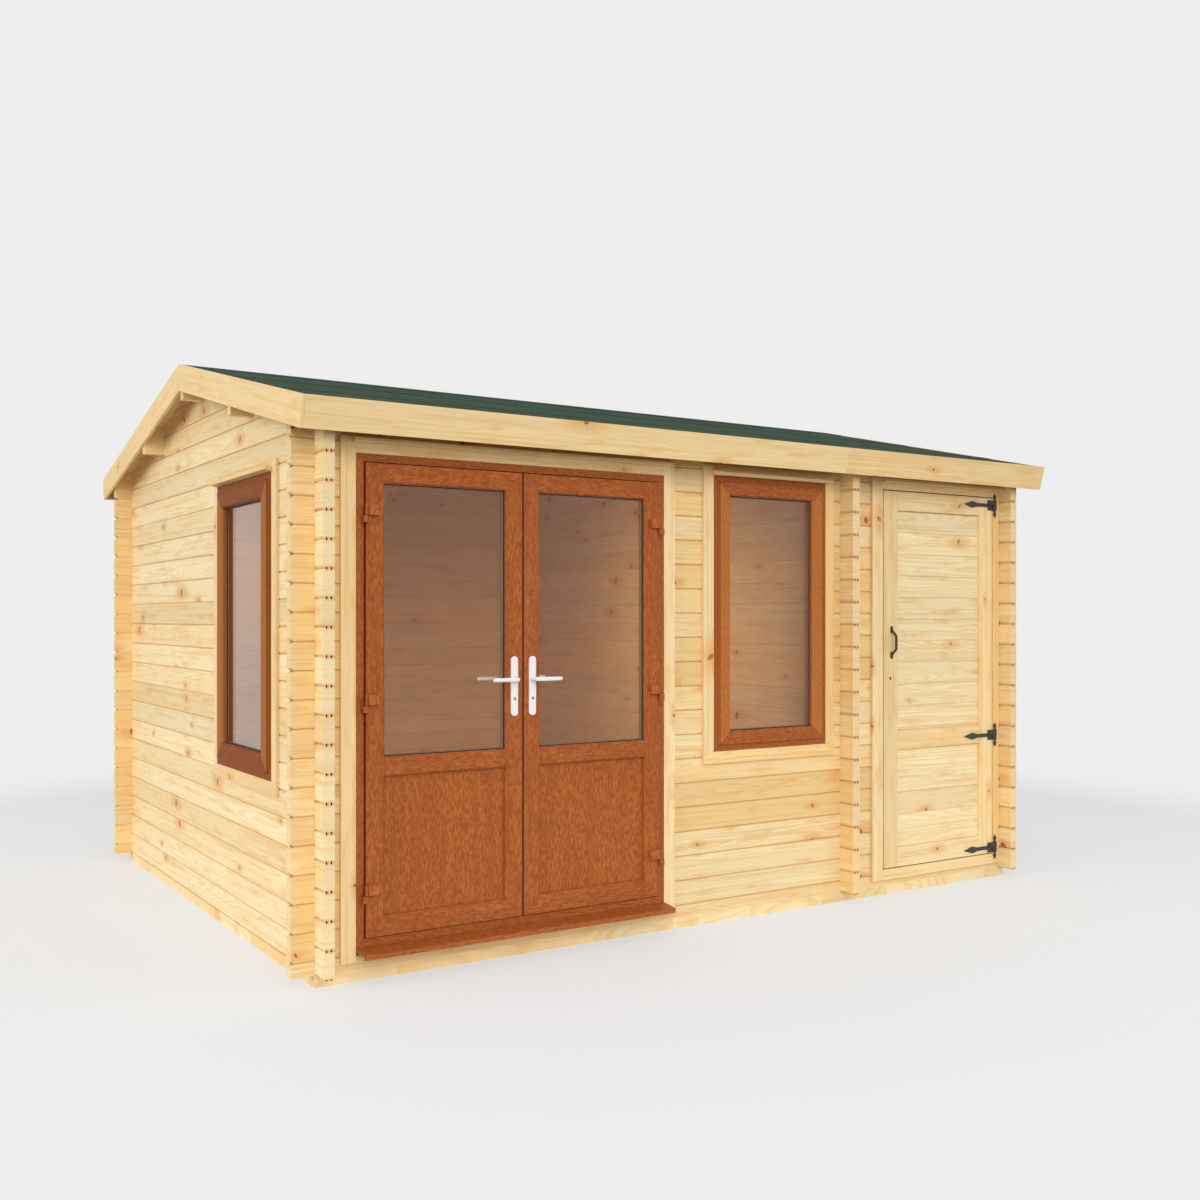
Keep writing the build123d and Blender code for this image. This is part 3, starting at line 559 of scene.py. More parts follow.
def foil_material(name, wide, low, high, face, rails=(), seed=0.0, tone=1.0, outer=0.0, shine=0.2):
    """Foil on a mitred frame.

    wide is the axis along the frame's width, low and high are its corners, face is the width of its
    members, rails are the heights between which a middle rail runs across, and tone the lightness.
    outer is the width of a fixed frame round an opening sash, whose mitres show as welded grooves.
    Each member's grain runs along it, and a mitre lies where both edges are equally near.
    """
    middle = (low + high) / 2
    half = (high - low) / 2

    def build(net):
        place = net.split(net.add("ShaderNodeTexCoord").outputs["Object"])
        side = net.minus(place[wide], middle[wide])
        up = net.minus(place[2], middle[2])
        from_side = net.minus(half[wide], net.absolute(side))
        from_end = net.minus(half[2], net.absolute(up))
        upright = net.less(from_side, from_end)
        nearest = net.smaller(from_side, from_end)
        seam = net.ease(net.absolute(net.minus(from_side, from_end)), *(WELD if outer else BUTT))
        seam = net.times(seam, net.less(nearest, face))
        if face:
            upright = net.larger(upright, net.above(nearest, face))
        for rail_low, rail_high in rails:
            centre = (rail_low + rail_high) / 2
            reach = (rail_high - rail_low) / 2
            level = net.absolute(net.minus(place[2], centre))
            inside = net.times(net.less(level, reach), net.above(from_side, face))
            upright = net.times(upright, net.minus(1.0, inside))
            butt = net.ease(net.absolute(net.minus(from_side, face)), *BUTT)
            seam = net.larger(seam, net.times(butt, net.less(level, reach)))
        into = place[1 - wide]
        turned = net.switch(upright, net.join(side, up, into), net.join(up, side, into))
        sign = net.times(net.math("SIGN", side), upright)
        sign = net.sum(sign, net.times(net.math("SIGN", up), net.minus(1.0, upright)))
        member = net.sum(net.sum(sign, net.times(upright, 4.0)), seed)
        foil = place_group(net, FOIL, {"Place": turned, "Member": member, "Tone": tone})
        colour = foil["Color"]
        # painted light and shade: a sash's stiles are painted lighter, as where light falls on their sloping
        # face, and the fixed frame round the sash darker
        if outer:
            sash = net.ease(nearest, outer - 0.001, outer + 0.001)
            lit_stile = net.times(sash, upright)
            colour = net.blend(net.times(lit_stile, 0.35), colour, OAK_STILE_LIT)
            colour = net.blend(net.scaled(sash, -0.3, 0.3), colour, OAK_DEEP)
        colour = net.blend(net.times(seam, 0.7), colour, OAK_SEAM)
        return {"Color": colour, "Roughness": foil["Roughness"], "Height": foil["Height"]}
    return new_material(name, build, bump=0.0002, Specular_IOR_Level=shine)


def plain_foil(name, node, seed, tone=1.0):
    """Foil without mitres on a piece at a CAD node."""
    low, high = span(node)
    return foil_material(name, 0, low - UNMITRED, high + UNMITRED, 0.0, seed=seed, tone=tone)


def speckled(name, light, dark, scale, rough, bump=0.0002, **plain):
    """A finish with a fine mottle between two near colours."""
    def build(net):
        place = net.add("ShaderNodeTexCoord").outputs["Object"]
        coarse = net.noise(place, scale, 3.0)
        fine = net.noise(place, scale * 6, 2.0)
        colour = net.blend(net.ease(coarse, 0.35, 0.65), dark, light)
        roughness = net.scaled(fine, 0.16, rough)
        return {"Color": colour, "Roughness": roughness, "Height": net.sum(coarse, net.times(fine, 0.4))}
    return new_material(name, build, bump, **plain)


def felt_material():
    """Mineral felt: crushed green slate granules pressed into bitumen, with worn dark patches."""
    def build(net):
        place = net.add("ShaderNodeTexCoord").outputs["Object"]
        grit = net.add("ShaderNodeTexVoronoi", {"Vector": place, "Scale": 420.0})
        _, pick, other = net.split(grit.outputs["Color"])
        colour = net.blend(net.ease(pick, 0.2, 0.8), FELT_DARK, FELT_LIGHT)
        colour = net.blend(net.above(other, 0.93), colour, FELT_GLINT)
        cloud = net.noise(place, 3.0, 4.0)
        colour = net.shade(colour, net.ease(cloud, 0.3, 0.7, 0.8, 1.15))
        bed = net.ease(grit.outputs["Distance"], 0.45, 0.75)
        colour = net.blend(net.times(bed, 0.6), colour, BITUMEN)
        roughness = net.scaled(pick, 0.1, 0.88)
        return {"Color": colour, "Roughness": roughness, "Height": net.minus(1.0, grit.outputs["Distance"])}
    return new_material("green felt", build, 0.0006, Specular_IOR_Level=0.15)


def glass_material():
    """Clear sealed units; light that only casts a shadow goes straight through."""
    material = bpy.data.materials.new("clear glass")
    net = blank_net(material)
    place = net.add("ShaderNodeTexCoord").outputs["Object"]
    film = net.ease(net.noise(place, 6.0, 3.0), 0.45, 0.75, 0.0, 0.03)
    values = {"Base Color": GLASS_TINT, "Transmission Weight": 1.0, "IOR": 1.5, "Roughness": film}
    shader = net.add("ShaderNodeBsdfPrincipled", values)
    clear = net.add("ShaderNodeBsdfTransparent", {"Color": GLASS_SHADOW})
    shadow = net.add("ShaderNodeLightPath").outputs["Is Shadow Ray"]
    net.show(net.two_shaders(shadow, shader, clear))
    return material


def dress(node, material):
    """Give a CAD node its finish."""
    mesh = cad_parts[node].data
    mesh.materials.clear()
    mesh.materials.append(material)


# ---------------- meshes


def new_object(name, points, faces, material, smooth=False):
    """An object from arrays of points and faces, with every face turned outwards."""
    mesh = bpy.data.meshes.new(name)
    mesh.from_pydata(np.asarray(points).reshape(-1, 3).tolist(), [], faces)
    mesh.materials.append(material)
    mesh.polygons.foreach_set("use_smooth", np.full(len(mesh.polygons), smooth))
    with_bmesh(mesh, lambda work: bmesh.ops.recalc_face_normals(work, faces=work.faces))
    return link_object(name, mesh)


def link_object(name, data):
    """An object in the scene with the given mesh, lamp or camera."""
    piece = bpy.data.objects.new(name, data)
    bpy.context.scene.collection.objects.link(piece)
    return piece


def with_bmesh(mesh, change):
    """Let change(work) edit a mesh."""
    work = bmesh.new()
    work.from_mesh(mesh)
    change(work)
    work.to_mesh(mesh)
    work.free()


def add_piece(name, points, faces, material, body="cabin", smooth=False):
    """A new piece that rides on a body and has the given material."""
    piece = new_object(name, points, faces, material, smooth)
    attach(piece, body)
    return piece


def grid_faces(rows, columns, closed_rows=False, closed_columns=False):
    """Quads of a grid of rows by columns, joined up where closed."""
    row = np.arange(rows if closed_rows else rows - 1)
    column = np.arange(columns if closed_columns else columns - 1)
    row, column = np.meshgrid(row, column, indexing="ij")
    next_row = (row + 1) % rows
    next_column = (column + 1) % columns
    corners = [row * columns + column, row * columns + next_column,
               next_row * columns + next_column, next_row * columns + column]
    return np.stack(corners, axis=-1).reshape(-1, 4)


class Boards:
    """Planed boards that make one piece.

    A board is a rectangle with rounded arrises carried along its length. Its section is drawn in by
    the arris at both ends, each end can be slanted across the width and the thickness, and the
    outer upper edge can drop to shed water.
    """

    def __init__(self, seed, slot="planed_trim"):
        self.rows = []
        self.seed = seed
        self.slot = slot

    def lay(self, start, end, across, width, thick, cuts=(0.0, 0.0, 0.0, 0.0), arris=ARRIS, drop=0.0):
        """Add a board between the middles of its two ends; across is the way its width runs.

        cuts are the slants of the start across width and thickness, then those of the end.
        """
        start = np.asarray(start, float)
        run = np.asarray(end, float) - start
        length = np.linalg.norm(run)
        along = run / length
        across = np.asarray(across, float)
        across = across / np.linalg.norm(across)
        into = np.cross(along, across)
        numbers = [length, width, thick, *cuts, arris, drop]
        self.rows.append(np.concatenate([start, along, across, into, numbers]))

    def block(self, low, high, run, arris=ARRIS):
        """Add a board that fills a block and runs along the given axis, as wide as its wider side."""
        low = np.asarray(low, float)
        high = np.asarray(high, float)
        size = high - low
        others = [axis for axis in range(3) if axis != run]
        wide = max(others, key=lambda axis: size[axis])
        thick = min(others, key=lambda axis: size[axis])
        if wide == thick:
            wide, thick = others
        start = (low + high) / 2
        end = start.copy()
        start[run] = low[run]
        end[run] = high[run]
        self.lay(start, end, np.eye(3)[wide], size[wide], size[thick], arris=arris)

    def piece(self, name, material, body="cabin"):
        """One piece of all the boards, with its grain's place, board number and end mask."""
        data = np.array(self.rows)
        count = len(data)
        start, along, across, into = (data[:, None, None, k:k + 3] for k in (0, 3, 6, 9))
        length, width, thick = (data[:, None, k:k + 1] for k in (12, 13, 14))
        cut_u, cut_v, end_u, end_v, arris, drop = (data[:, None, k:k + 1] for k in range(15, 21))
        # rounded rectangle: three points at each corner, at the corner's centre plus the arris
        turn = np.radians([0, 45, 90])
        angle = (turn[None, :] + np.radians([0, 90, 180, 270])[:, None]).ravel()
        sign_u = np.repeat([1, -1, -1, 1], 3)
        sign_v = np.repeat([1, 1, -1, -1], 3)
        shrink = np.array([0, 1, 1, 0])[None, :, None]
        u = sign_u * (width / 2 - arris) + np.cos(angle) * arris * shrink
        v = sign_v * (thick / 2 - arris) + np.sin(angle) * arris * shrink
        v = v - drop * ((sign_u > 0) & (sign_v > 0))
        # four rings: each end face, and each end of the full section one arris further in
        near_end = np.array([1, 1, 0, 0])[None, :, None]
        inset_near = arris * np.array([0, 1, 0, 0])[None, :, None]
        inset_far = arris * np.array([0, 0, 1, 0])[None, :, None]
        t = near_end * inset_near + (1 - near_end) * (length - inset_far)
        t = t + near_end * (cut_u * u + cut_v * v) + (1 - near_end) * (end_u * u + end_v * v)
        points = start + along * t[..., None] + across * u[..., None] + into * v[..., None]
        ring = len(angle)
        quads = grid_faces(4, ring, closed_columns=True)
        base = np.arange(count)[:, None, None] * (4 * ring)
        sides = (quads[None] + base).reshape(-1, 4)[:, ::-1]
        loop = np.arange(ring)
        first = loop[None] + base[:, 0]
        last = loop[None, ::-1] + 3 * ring + base[:, 0]
        faces = sides.tolist() + first.tolist() + last.tolist()
        piece = add_piece(name, points, faces, material, body)
        number = self.seed + np.arange(count)
        shift = np.modf(number * SHIFT_STEP)[0][:, None, None] * SHIFT_REACH
        ends = np.zeros(len(faces))
        ends[len(sides):] = 1
        grain = np.stack([t + shift, u + 0 * t, v + 0 * t], axis=-1)
        carry(piece, "grain", "FLOAT_VECTOR", "POINT", "vector", grain)
        carry(piece, "board", "FLOAT", "POINT", "value", np.repeat(number, 4 * ring).astype(float))
        carry(piece, "end_grain", "FLOAT", "FACE", "value", ends)
        return piece


def carry(piece, name, kind, domain, field, values):
    """Store values on a piece's points or faces for its material to read."""
    attribute = piece.data.attributes.new(name, kind, domain)
    attribute.data.foreach_set(field, values.ravel())


def frame_ring(name, low, high, wide, profile, material, body):
    """A profile carried round an upright rectangle with mitred corners.

    low and high are the rectangle's corners, wide is the axis of its width, and the profile's points
    are (outwards from the rectangle, place on the axis through it).
    """
    middle = (low + high) / 2
    half = (high - low) / 2
    out = np.array([p[0] for p in profile])
    deep = np.array([p[1] for p in profile])
    signs = np.array([(-1, -1), (1, -1), (1, 1), (-1, 1)])
    points = np.zeros((4, len(out), 3))
    points[..., wide] = middle[wide] + signs[:, :1] * (half[wide] + out)
    points[..., 2] = middle[2] + signs[:, 1:] * (half[2] + out)
    points[..., 1 - wide] = deep
    faces = grid_faces(4, len(out), True, True)
    return add_piece(name, points, faces.tolist(), material, body)


def ring_stack(name, centres, shape, material, body, smooth=False):
    """Copies of one stack of closed rings, with both end rings filled; shape is rings by points."""
    centres = np.asarray(centres, float).reshape(-1, 1, 1, 3)
    rings, sides = shape.shape[:2]
    points = centres + shape[None]
    quads = grid_faces(rings, sides, closed_columns=True)
    base = np.arange(len(points))[:, None, None] * (rings * sides)
    loop = np.arange(sides)
    foot = loop[None, ::-1] + base[:, 0]
    crown = loop[None] + (rings - 1) * sides + base[:, 0]
    faces = (quads[None] + base).reshape(-1, 4).tolist() + foot.tolist() + crown.tolist()
    return add_piece(name, points, faces, material, body, smooth)


def domes(name, centres, axis, radius, height, material, body, slot, sides=12):
    """Round heads, each a quarter ellipse turned about its axis and closed at its foot."""
    axis = np.asarray(axis, float) / np.linalg.norm(axis)
    helper = np.array([0.0, 0.0, 1.0]) if abs(axis[2]) < 0.9 else np.array([1.0, 0.0, 0.0])
    one = np.cross(axis, helper)
    one = one / np.linalg.norm(one)
    two = np.cross(axis, one)
    rise = np.radians([0, 0, 35, 65])
    wide = np.array([0.98, 1, math.cos(rise[2]), math.cos(rise[3])]) * radius
    high = np.array([0, 0.25, 0.25 + 0.75 * math.sin(rise[2]), 0.25 + 0.75 * math.sin(rise[3])]) * height
    turn = np.arange(sides) * 2 * math.pi / sides
    circle = np.cos(turn)[:, None] * one + np.sin(turn)[:, None] * two
    shape = wide[:, None, None] * circle[None] + high[:, None, None] * axis
    return ring_stack(name, centres, shape, material, body)


def round_plates(name, centres, half_width, half_length, depth, outward, material, body, slot):
    """Upright plates with half-round ends, crowned at the edge.

    The outline is a half circle carried to each end of the straight part. Rings of it are drawn in
    by a quarter ellipse as they rise, and the last ring is closed. outward is the Y direction.
    """
    turn = np.linspace(0, 2 * math.pi, 33)[:-1]
    inset = np.array([0.02, 0.0, 0.0, 0.10, 0.30, 0.55]) * min(depth, half_width)
    rise = np.array([0.0, 0.04, 0.55, 0.83, 0.96, 1.0]) * depth
    reach = half_width - inset[:, None]
    x = reach * np.cos(turn)
    z = reach * np.sin(turn) + np.sign(np.sin(turn + 1e-9)) * (half_length - half_width)
    y = outward * rise[:, None] + 0 * x
    shape = np.stack([x, y, z], axis=-1)
    return ring_stack(name, centres, shape, material, body)


def lever_handles(name, hub, way, faces, reach, length, material, body):
    """Outer and inner lever, each an ellipse carried along a stem and round a bend into the bar.

    The path lies level: out from the leaf's middle, through a quarter circle, then along the leaf.
    hub is the spindle's place, way the X direction of the bars, faces the Y of the two back plates,
    reach the stand-off of the bar's outer edge and length the bar's reach from the spindle.
    """
    depth, height = LEVER_BAR
    middle = sum(faces) / 2
    quarter = np.linspace(0, math.pi / 2, 8)
    along = np.array([0.35, 0.7, 0.92, 0.965, 0.99, 1.0])
    round_off = np.array([1.0, 0.97, 0.9, 0.78, 0.5, 0.12])
    stem_out = np.array([0.0005, 0.001, 0.006, 0.0085])
    stem_size = np.array([0.0045, 0.0045, 0.0125, 0.0125, LEVER_NECK])
    flat = np.concatenate([stem_size, np.linspace(LEVER_NECK, depth, 8), depth * round_off])
    tall = np.concatenate([stem_size, np.linspace(LEVER_NECK, height, 8), height * round_off])
    turn = np.linspace(0, 2 * math.pi, 17)[:-1]
    side = flat[:, None] * np.cos(turn)
    levers = []
    for label, face, out in (("", faces[0], -1), ("_inner", faces[1], 1)):
        centre_line = face + out * (reach - depth)
        stem_y = np.concatenate([[middle], face + out * stem_out])
        bend_y = centre_line - out * LEVER_BEND * (1 - np.sin(quarter))
        bend_x = way * LEVER_BEND * (1 - np.cos(quarter))
        bar_x = way * (LEVER_BEND + (length - LEVER_BEND) * along)
        path_x = np.concatenate([0 * stem_y, bend_x, bar_x])
        path_y = np.concatenate([stem_y, bend_y, 0 * bar_x + centre_line])
        heading = np.concatenate([0 * stem_y, quarter, 0 * bar_x + math.pi / 2])
        shape = np.zeros((len(path_x), len(turn), 3))
        shape[..., 0] = path_x[:, None] + side * np.cos(heading)[:, None]
        shape[..., 1] = path_y[:, None] - side * (np.sin(heading) * way * out)[:, None]
        shape[..., 2] = tall[:, None] * np.sin(turn)
        levers.append(ring_stack(name + label, [hub], shape, material, body, True))
    return levers


# ---------------- log walls

WALL_MID = FRONT + LOG / 2
SIDE_MID = LEFT + LOG / 2
# axis of the logs, middle of the wall, part of a course by which its joints are raised, first board
# number and warmth of the wood
LOG_WALLS = {
    "front_wall_base": (0, WALL_MID, 0.5, 11, 0.7),
    "front_wall_left": (0, WALL_MID, 0.5, 11, 0.95),
    "front_wall_centre": (0, WALL_MID, 0.5, 53, 0.62),
    "front_wall_under_window": (0, WALL_MID, 0.5, 53, 0.62),
    "front_wall_partition_bay": (0, WALL_MID, 0.5, 53, 0.62),
    "front_wall_right": (0, WALL_MID, 0.5, 171, 0.75),
    "front_wall_top": (0, WALL_MID, 0.5, 211, 0.7),
    "rear_wall": (0, -WALL_MID, 0.5, 251, 0.95),
    # the left wall's logs are painted paler than the other walls, as painted light for the brighter side
    "left_wall_front": (1, SIDE_MID, 0.0, 301, 0.12),
    "left_wall_rear": (1, SIDE_MID, 0.0, 301, 0.12),
    "left_wall_under_window": (1, SIDE_MID, 0.0, 301, 0.12),
    "left_wall_top": (1, SIDE_MID, 0.0, 301, 0.12),
    "partition_wall": (1, PARTITION + LOG / 2, 0.0, 461, 0.7),
    "right_wall": (1, RIGHT - LOG / 2, 0.0, 501, 0.55),
}


def joint_bars(node, run, mid, phase, material):
    """Square bars along Y, set on edge at each joint of the log ends past the crossing walls.

    On logs along Y they lie on both faces of the wall, and on logs along X on the corners of the ends.
    """
    low, high = span(node)
    corner = -(LEFT, FRONT)[run]
    joints = BASE + (np.arange(COURSES) + phase) * COURSE
    joints = joints[(joints > low[2] - 0.001) & (joints < high[2] + 0.001)]
    bars = []
    for way, end in ((-1, low[run]), (1, high[run])):
        if way * end < corner + END_LEAST:
            continue
        if run:
            size = END_BEVEL
            reach = (way * (corner + PAST_WALL), end + way * PAST_END)
            places = (mid - LOG / 2, mid + LOG / 2)
        else:
            size = END_CORNER
            reach = (mid - LOG, mid + LOG)
            places = (end,)
        centres = np.zeros((len(places), len(joints), 3))
        centres[..., 0] = np.array(places)[:, None]
        centres[..., 2] = joints
        bar = np.zeros((2, 4, 3))
        bar[..., 0] = np.array([1, 0, -1, 0]) * size
        bar[..., 1] = np.array(reach)[:, None]
        bar[..., 2] = np.array([0, 1, 0, -1]) * size
        bars.append(ring_stack(node + "_bars", centres, bar, material, "cabin"))
    return bars


def merge_faces(work):
    """Join a CAD node's loose triangles into its flat faces."""
    bmesh.ops.remove_doubles(work, verts=work.verts, dist=0.00001)
    bmesh.ops.dissolve_limit(work, angle_limit=0.0005, verts=work.verts, edges=work.edges)


def bevel_ends(node, bars, material):
    """The wall again, with the bars cut out of a merged copy of it."""
    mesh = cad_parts[node].data.copy()
    with_bmesh(mesh, merge_faces)
    piece = link_object(node + "_logs", mesh)
    for bar in bars:
        cut = piece.modifiers.new("joint", "BOOLEAN")
        cut.operation = "DIFFERENCE"
        cut.solver = "EXACT"
        cut.object = bar
    bpy.context.view_layer.update()
    finished = piece.evaluated_get(bpy.context.evaluated_depsgraph_get())
    piece.data = bpy.data.meshes.new_from_object(finished)
    piece.modifiers.clear()
    piece.data.name = piece.name
    piece.data.materials.clear()
    piece.data.materials.append(material)
    for bar in bars:
        bpy.data.objects.remove(bar)
    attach(piece, "cabin")
    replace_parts(piece, node)


for node, (run, mid, phase, seed, gold) in LOG_WALLS.items():
    logs = log_material("pine logs " + node, run, mid, phase, seed, gold)
    dress(node, logs)
    bars = joint_bars(node, run, mid, phase, logs)
    if bars:
        bevel_ends(node, bars, logs)

PLANED = timber_material("planed pine boards", 0.55)
PALE = timber_material("pale pine boards", -0.25)
ROUGH = timber_material("roof and floor boards", 0.75)


def under_long_walls(net, y):
    """1 on the bearers under the front and rear wall, which run along X."""
    return net.above(net.absolute(y), BACK - 0.07)


dress("bearers", carcass_material("bearer timber", under_long_walls))
dress("floor_joists", carcass_material("joist timber", lambda net, y: 0.0))
dress("purlins", carcass_material("purlin timber", lambda net, y: 1.0))

# ---------------- floors


def lay_floor(node, seed):
    """Boards along X over the joists, side by side from front to back."""
    low, high = span(node)
    boards = Boards(seed, "floor_timber")
    count = round((high[1] - low[1]) / BOARD_WIDTH)
    pitch = (high[1] - low[1]) / count
    z = (low[2] + high[2]) / 2
    for k in range(count):
        y = low[1] + (k + 0.5) * pitch
        boards.lay((low[0], y, z), (high[0], y, z), (0, 1, 0), pitch - FLOOR_GAP, high[2] - low[2])
    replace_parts(boards.piece(node + "_laid", ROUGH), node)


lay_floor("main_floor", 1000)
lay_floor("store_floor", 1100)

# ---------------- roof

BOARD_LOW, BOARD_HIGH = span("front_roof_boards")
VERGE = BOARD_HIGH[0]
PITCH = math.radians(13)
SLOPE = np.array([0.0, -math.cos(PITCH), -math.sin(PITCH)])
UP = np.array([0.0, -math.sin(PITCH), math.cos(PITCH)])
FELT_THICK = (span("roof_felt")[1][2] - BOARD_HIGH[2]) * math.cos(PITCH)
RIDGE = BOARD_HIGH[2] - ROOF_BOARD / math.cos(PITCH)
# slope length of the boards: their lowest corner is length*sin under the ridge
EAVES = (RIDGE - BOARD_LOW[2]) / math.sin(PITCH)


def slope_point(x, down, up, rear):
    """A point of a slope: metres down it from the ridge and up from the boards' underside."""
    point = np.array([x, 0.0, RIDGE]) + SLOPE * down + UP * up
    if rear:
        point[1] = -point[1]
    return point


def slope_up(rear):
    """The way out of a slope, square to it."""
    return UP * (1, -1, 1) if rear else UP


def ridge_start(x, up, rear):
    """The place where a layer meets its mirror image over the ridge."""
    return slope_point(x, -up * math.tan(PITCH), up, rear)


def lay_roof(node, rear, seed):
    """Matched boards down the slope, with a plumb cut at the ridge."""
    boards = Boards(seed, "floor_timber")
    count = round(2 * VERGE / BOARD_WIDTH)
    pitch = 2 * VERGE / count
    mid = ROOF_BOARD / 2
    plumb = math.tan(PITCH) if rear else -math.tan(PITCH)
    for k in range(count):
        x = -VERGE + (k + 0.5) * pitch
        top, foot = ridge_start(x, mid, rear), slope_point(x, EAVES, mid, rear)
        boards.lay(top, foot, (1, 0, 0), pitch - ROOF_GAP, ROOF_BOARD, (0.0, plumb, 0.0, 0.0))
    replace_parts(boards.piece(node + "_laid", ROUGH), node)


lay_roof("front_roof_boards", False, 1200)
lay_roof("rear_roof_boards", True, 1300)


def lay_edge_boards():
    """Barge boards down each verge and fascias along the eaves, square to the slope."""
    thick = span("barge_boards")[1][0] - VERGE
    centre = ROOF_BOARD + FELT_THICK - EDGE_BOARD_DEPTH / 2
    mitre = (-math.tan(PITCH), 0.0, 0.0, 0.0)
    barges = Boards(1400)
    fascias = Boards(1424)
    for rear in (False, True):
        up = slope_up(rear)
        for side in (-1, 1):
            x = side * (VERGE + thick / 2)
            top, foot = ridge_start(x, centre, rear), slope_point(x, EAVES + thick, centre, rear)
            barges.lay(top, foot, up, EDGE_BOARD_DEPTH, thick, mitre)
        ends = [slope_point(x, EAVES + thick / 2, centre, rear) for x in (-VERGE, FASCIA_JOINT, VERGE)]
        for first, last in zip(ends, ends[1:]):
            fascias.lay(first, last, up, EDGE_BOARD_DEPTH, thick)
    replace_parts(barges.piece("barge_boards_cut", PLANED), "barge_boards")
    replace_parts(fascias.piece("fascia_boards_cut", PLANED), "fascia_boards")


lay_edge_boards()
FELT = felt_material()
GALVANISED = speckled("clout heads", (0.10, 0.12, 0.11), (0.05, 0.06, 0.055), 600.0, 0.5, Metallic=0.4)
# lower edges of the sheets above the one at the eaves
SHEET_EDGES = np.arange(FELT_EXPOSED + 0.1, EAVES - 0.2, FELT_EXPOSED)


def felt_profile():
    """Distances down a slope from the ridge, and heights of the lapped felt there.

    One sheet's thickness, plus another over each lap, with a ramp where the lower sheet begins and
    a step where the upper one ends. The ridge sheet is laid last.
    """
    one, two = FELT_SHEET, 2 * FELT_SHEET
    rows = [(0.0, two), (FELT_CAP, two), (FELT_CAP, one)]
    for edge in SHEET_EDGES:
        rows += [(edge - FELT_LAP - FELT_RAMP, one), (edge - FELT_LAP, two), (edge, two), (edge, one)]
    rows += [(EAVES - FELT_NOSE, one), (EAVES, one * 0.6)]
    return np.array(rows).T


def lay_felt(name, rear):
    """One slope of felt: the lapped profile carried along X, with slight ripples that fade at the edges."""
    down, high = felt_profile()
    x = np.linspace(-VERGE, VERGE, 82)
    across = x[:, None]
    ripple = np.sin(across * 9.1 + down * 3.7) * np.sin(across * 3.3 - down * 5.1 + rear * 1.7)
    fade = np.clip(np.minimum(down, EAVES - down) / FELT_FADE, 0, 1)
    fade = fade * np.clip((VERGE - abs(across)) / FELT_FADE, 0, 1)
    height = high + FELT_RIPPLE * ripple * fade
    under = np.tile([EAVES, 0.0], (len(x), 1))
    along = np.concatenate([down + 0 * height, under], axis=1)
    up = np.concatenate([ROOF_BOARD + height, np.full((len(x), 2), ROOF_BOARD)], axis=1)
    along = np.where(along <= 1e-6, -up * math.tan(PITCH), along)
    points = np.array([0.0, 0.0, RIDGE]) + SLOPE * along[..., None] + UP * up[..., None]
    if rear:
        points[..., 1] *= -1
    points[..., 0] = across
    columns = along.shape[1]
    loop = np.arange(columns)
    faces = grid_faces(len(x), columns, closed_columns=True).tolist()
    faces += [loop[::-1].tolist(), (loop + (len(x) - 1) * columns).tolist()]
    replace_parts(add_piece(name, points, faces, FELT, "cabin"), "roof_felt")


def nail_felt(name, rear):
    """Clout heads along each sheet's lower edge and down both verges."""
    nails = []
    for row in [FELT_CAP] + SHEET_EDGES.tolist() + [EAVES]:
        top = ROOF_BOARD + FELT_SHEET * (1 if row == EAVES else 2)
        for place in np.arange(-VERGE + 0.03, VERGE - 0.02, CLOUT_SPACING):
            nails.append(slope_point(place, row - CLOUT_INSET, top, rear))
    for x in (-(VERGE - CLOUT_VERGE), VERGE - CLOUT_VERGE):
        for place in np.arange(0.06, EAVES - 0.04, CLOUT_SPACING * 1.5):
            nails.append(slope_point(x, place, ROOF_BOARD + FELT_SHEET, rear))
    domes(name + "_clouts", nails, slope_up(rear), CLOUT_RADIUS, CLOUT_HEIGHT, GALVANISED, "cabin",
          "green_felt", 8)


for name, rear in (("front_felt", False), ("rear_felt", True)):
    lay_felt(name, rear)
    nail_felt(name, rear)

# ---------------- plastic doors and windows


def foil_frame(node, wide, face, **looks):
    """Foil on a window or door frame that fills its own node."""
    low, high = span(node)
    dress(node, foil_material("oak foil " + node, wide, low, high, face, **looks))


foil_frame("front_window", 0, WINDOW_FACE, seed=10.0, outer=WINDOW_FRAME)
# the side window's foil is painted darker than the front window's, as painted shade
foil_frame("side_window", 1, SIDE_WINDOW_FACE, seed=30.0, tone=0.62, outer=WINDOW_FRAME, shine=0.04)
foil_frame("door_frame", 0, DOOR_FRAME_FACE, seed=50.0)
for node, seed in (("left_leaf", 70.0), ("right_leaf", 90.0)):
    low, high = span(node)
    glass_low, glass_high = span(node + "_glass")
    # the hinge knuckles pass the leaf's own edge
    low[0] = glass_low[0] + GLASS_EDGE - LEAF_FACE
    high[0] = glass_high[0] - GLASS_EDGE + LEAF_FACE
    rail = glass_low[2] + GLASS_EDGE
    dress(node, foil_material("oak foil " + node, 0, low, high, LEAF_FACE, ((rail - LEAF_FACE, rail),), seed))
dress("door_sill", plain_foil("oak foil sill", "door_sill", 110.0))


def cap_hinges(side, edge, way):
    """Covers over the flag hinges' plates, almost as proud of the leaf as the knuckles are.

    edge is the X of the knuckles' outer side, and way the X direction from it over the leaf.
    """
    leaf = side + "_leaf"
    low, high = span(leaf)
    lowest = low[2] + HINGE_LOW
    highest = high[2] - HINGE_HIGH
    x0, x1 = sorted(edge + way * reach for reach in HINGE_CAP)
    caps = Boards(0, "golden_oak_upvc")
    for height in (lowest, (lowest + highest) / 2, highest):
        top = height + HINGE_LENGTH / 2 + CAP_MARGIN
        foot = top - HINGE_MOVING - 2 * CAP_MARGIN
        caps.block((x0, low[1] + CAP_MARGIN, foot), (x1, low[1] + CAP_BACK, top), 0, CAP_ARRIS)
    caps.piece(side + "_hinge_caps", plain_foil("oak foil " + side + " hinges", leaf, 130.0, 1.15), leaf)


cap_hinges("left", span("left_leaf")[0][0], 1)
cap_hinges("right", span("right_leaf")[1][0], -1)

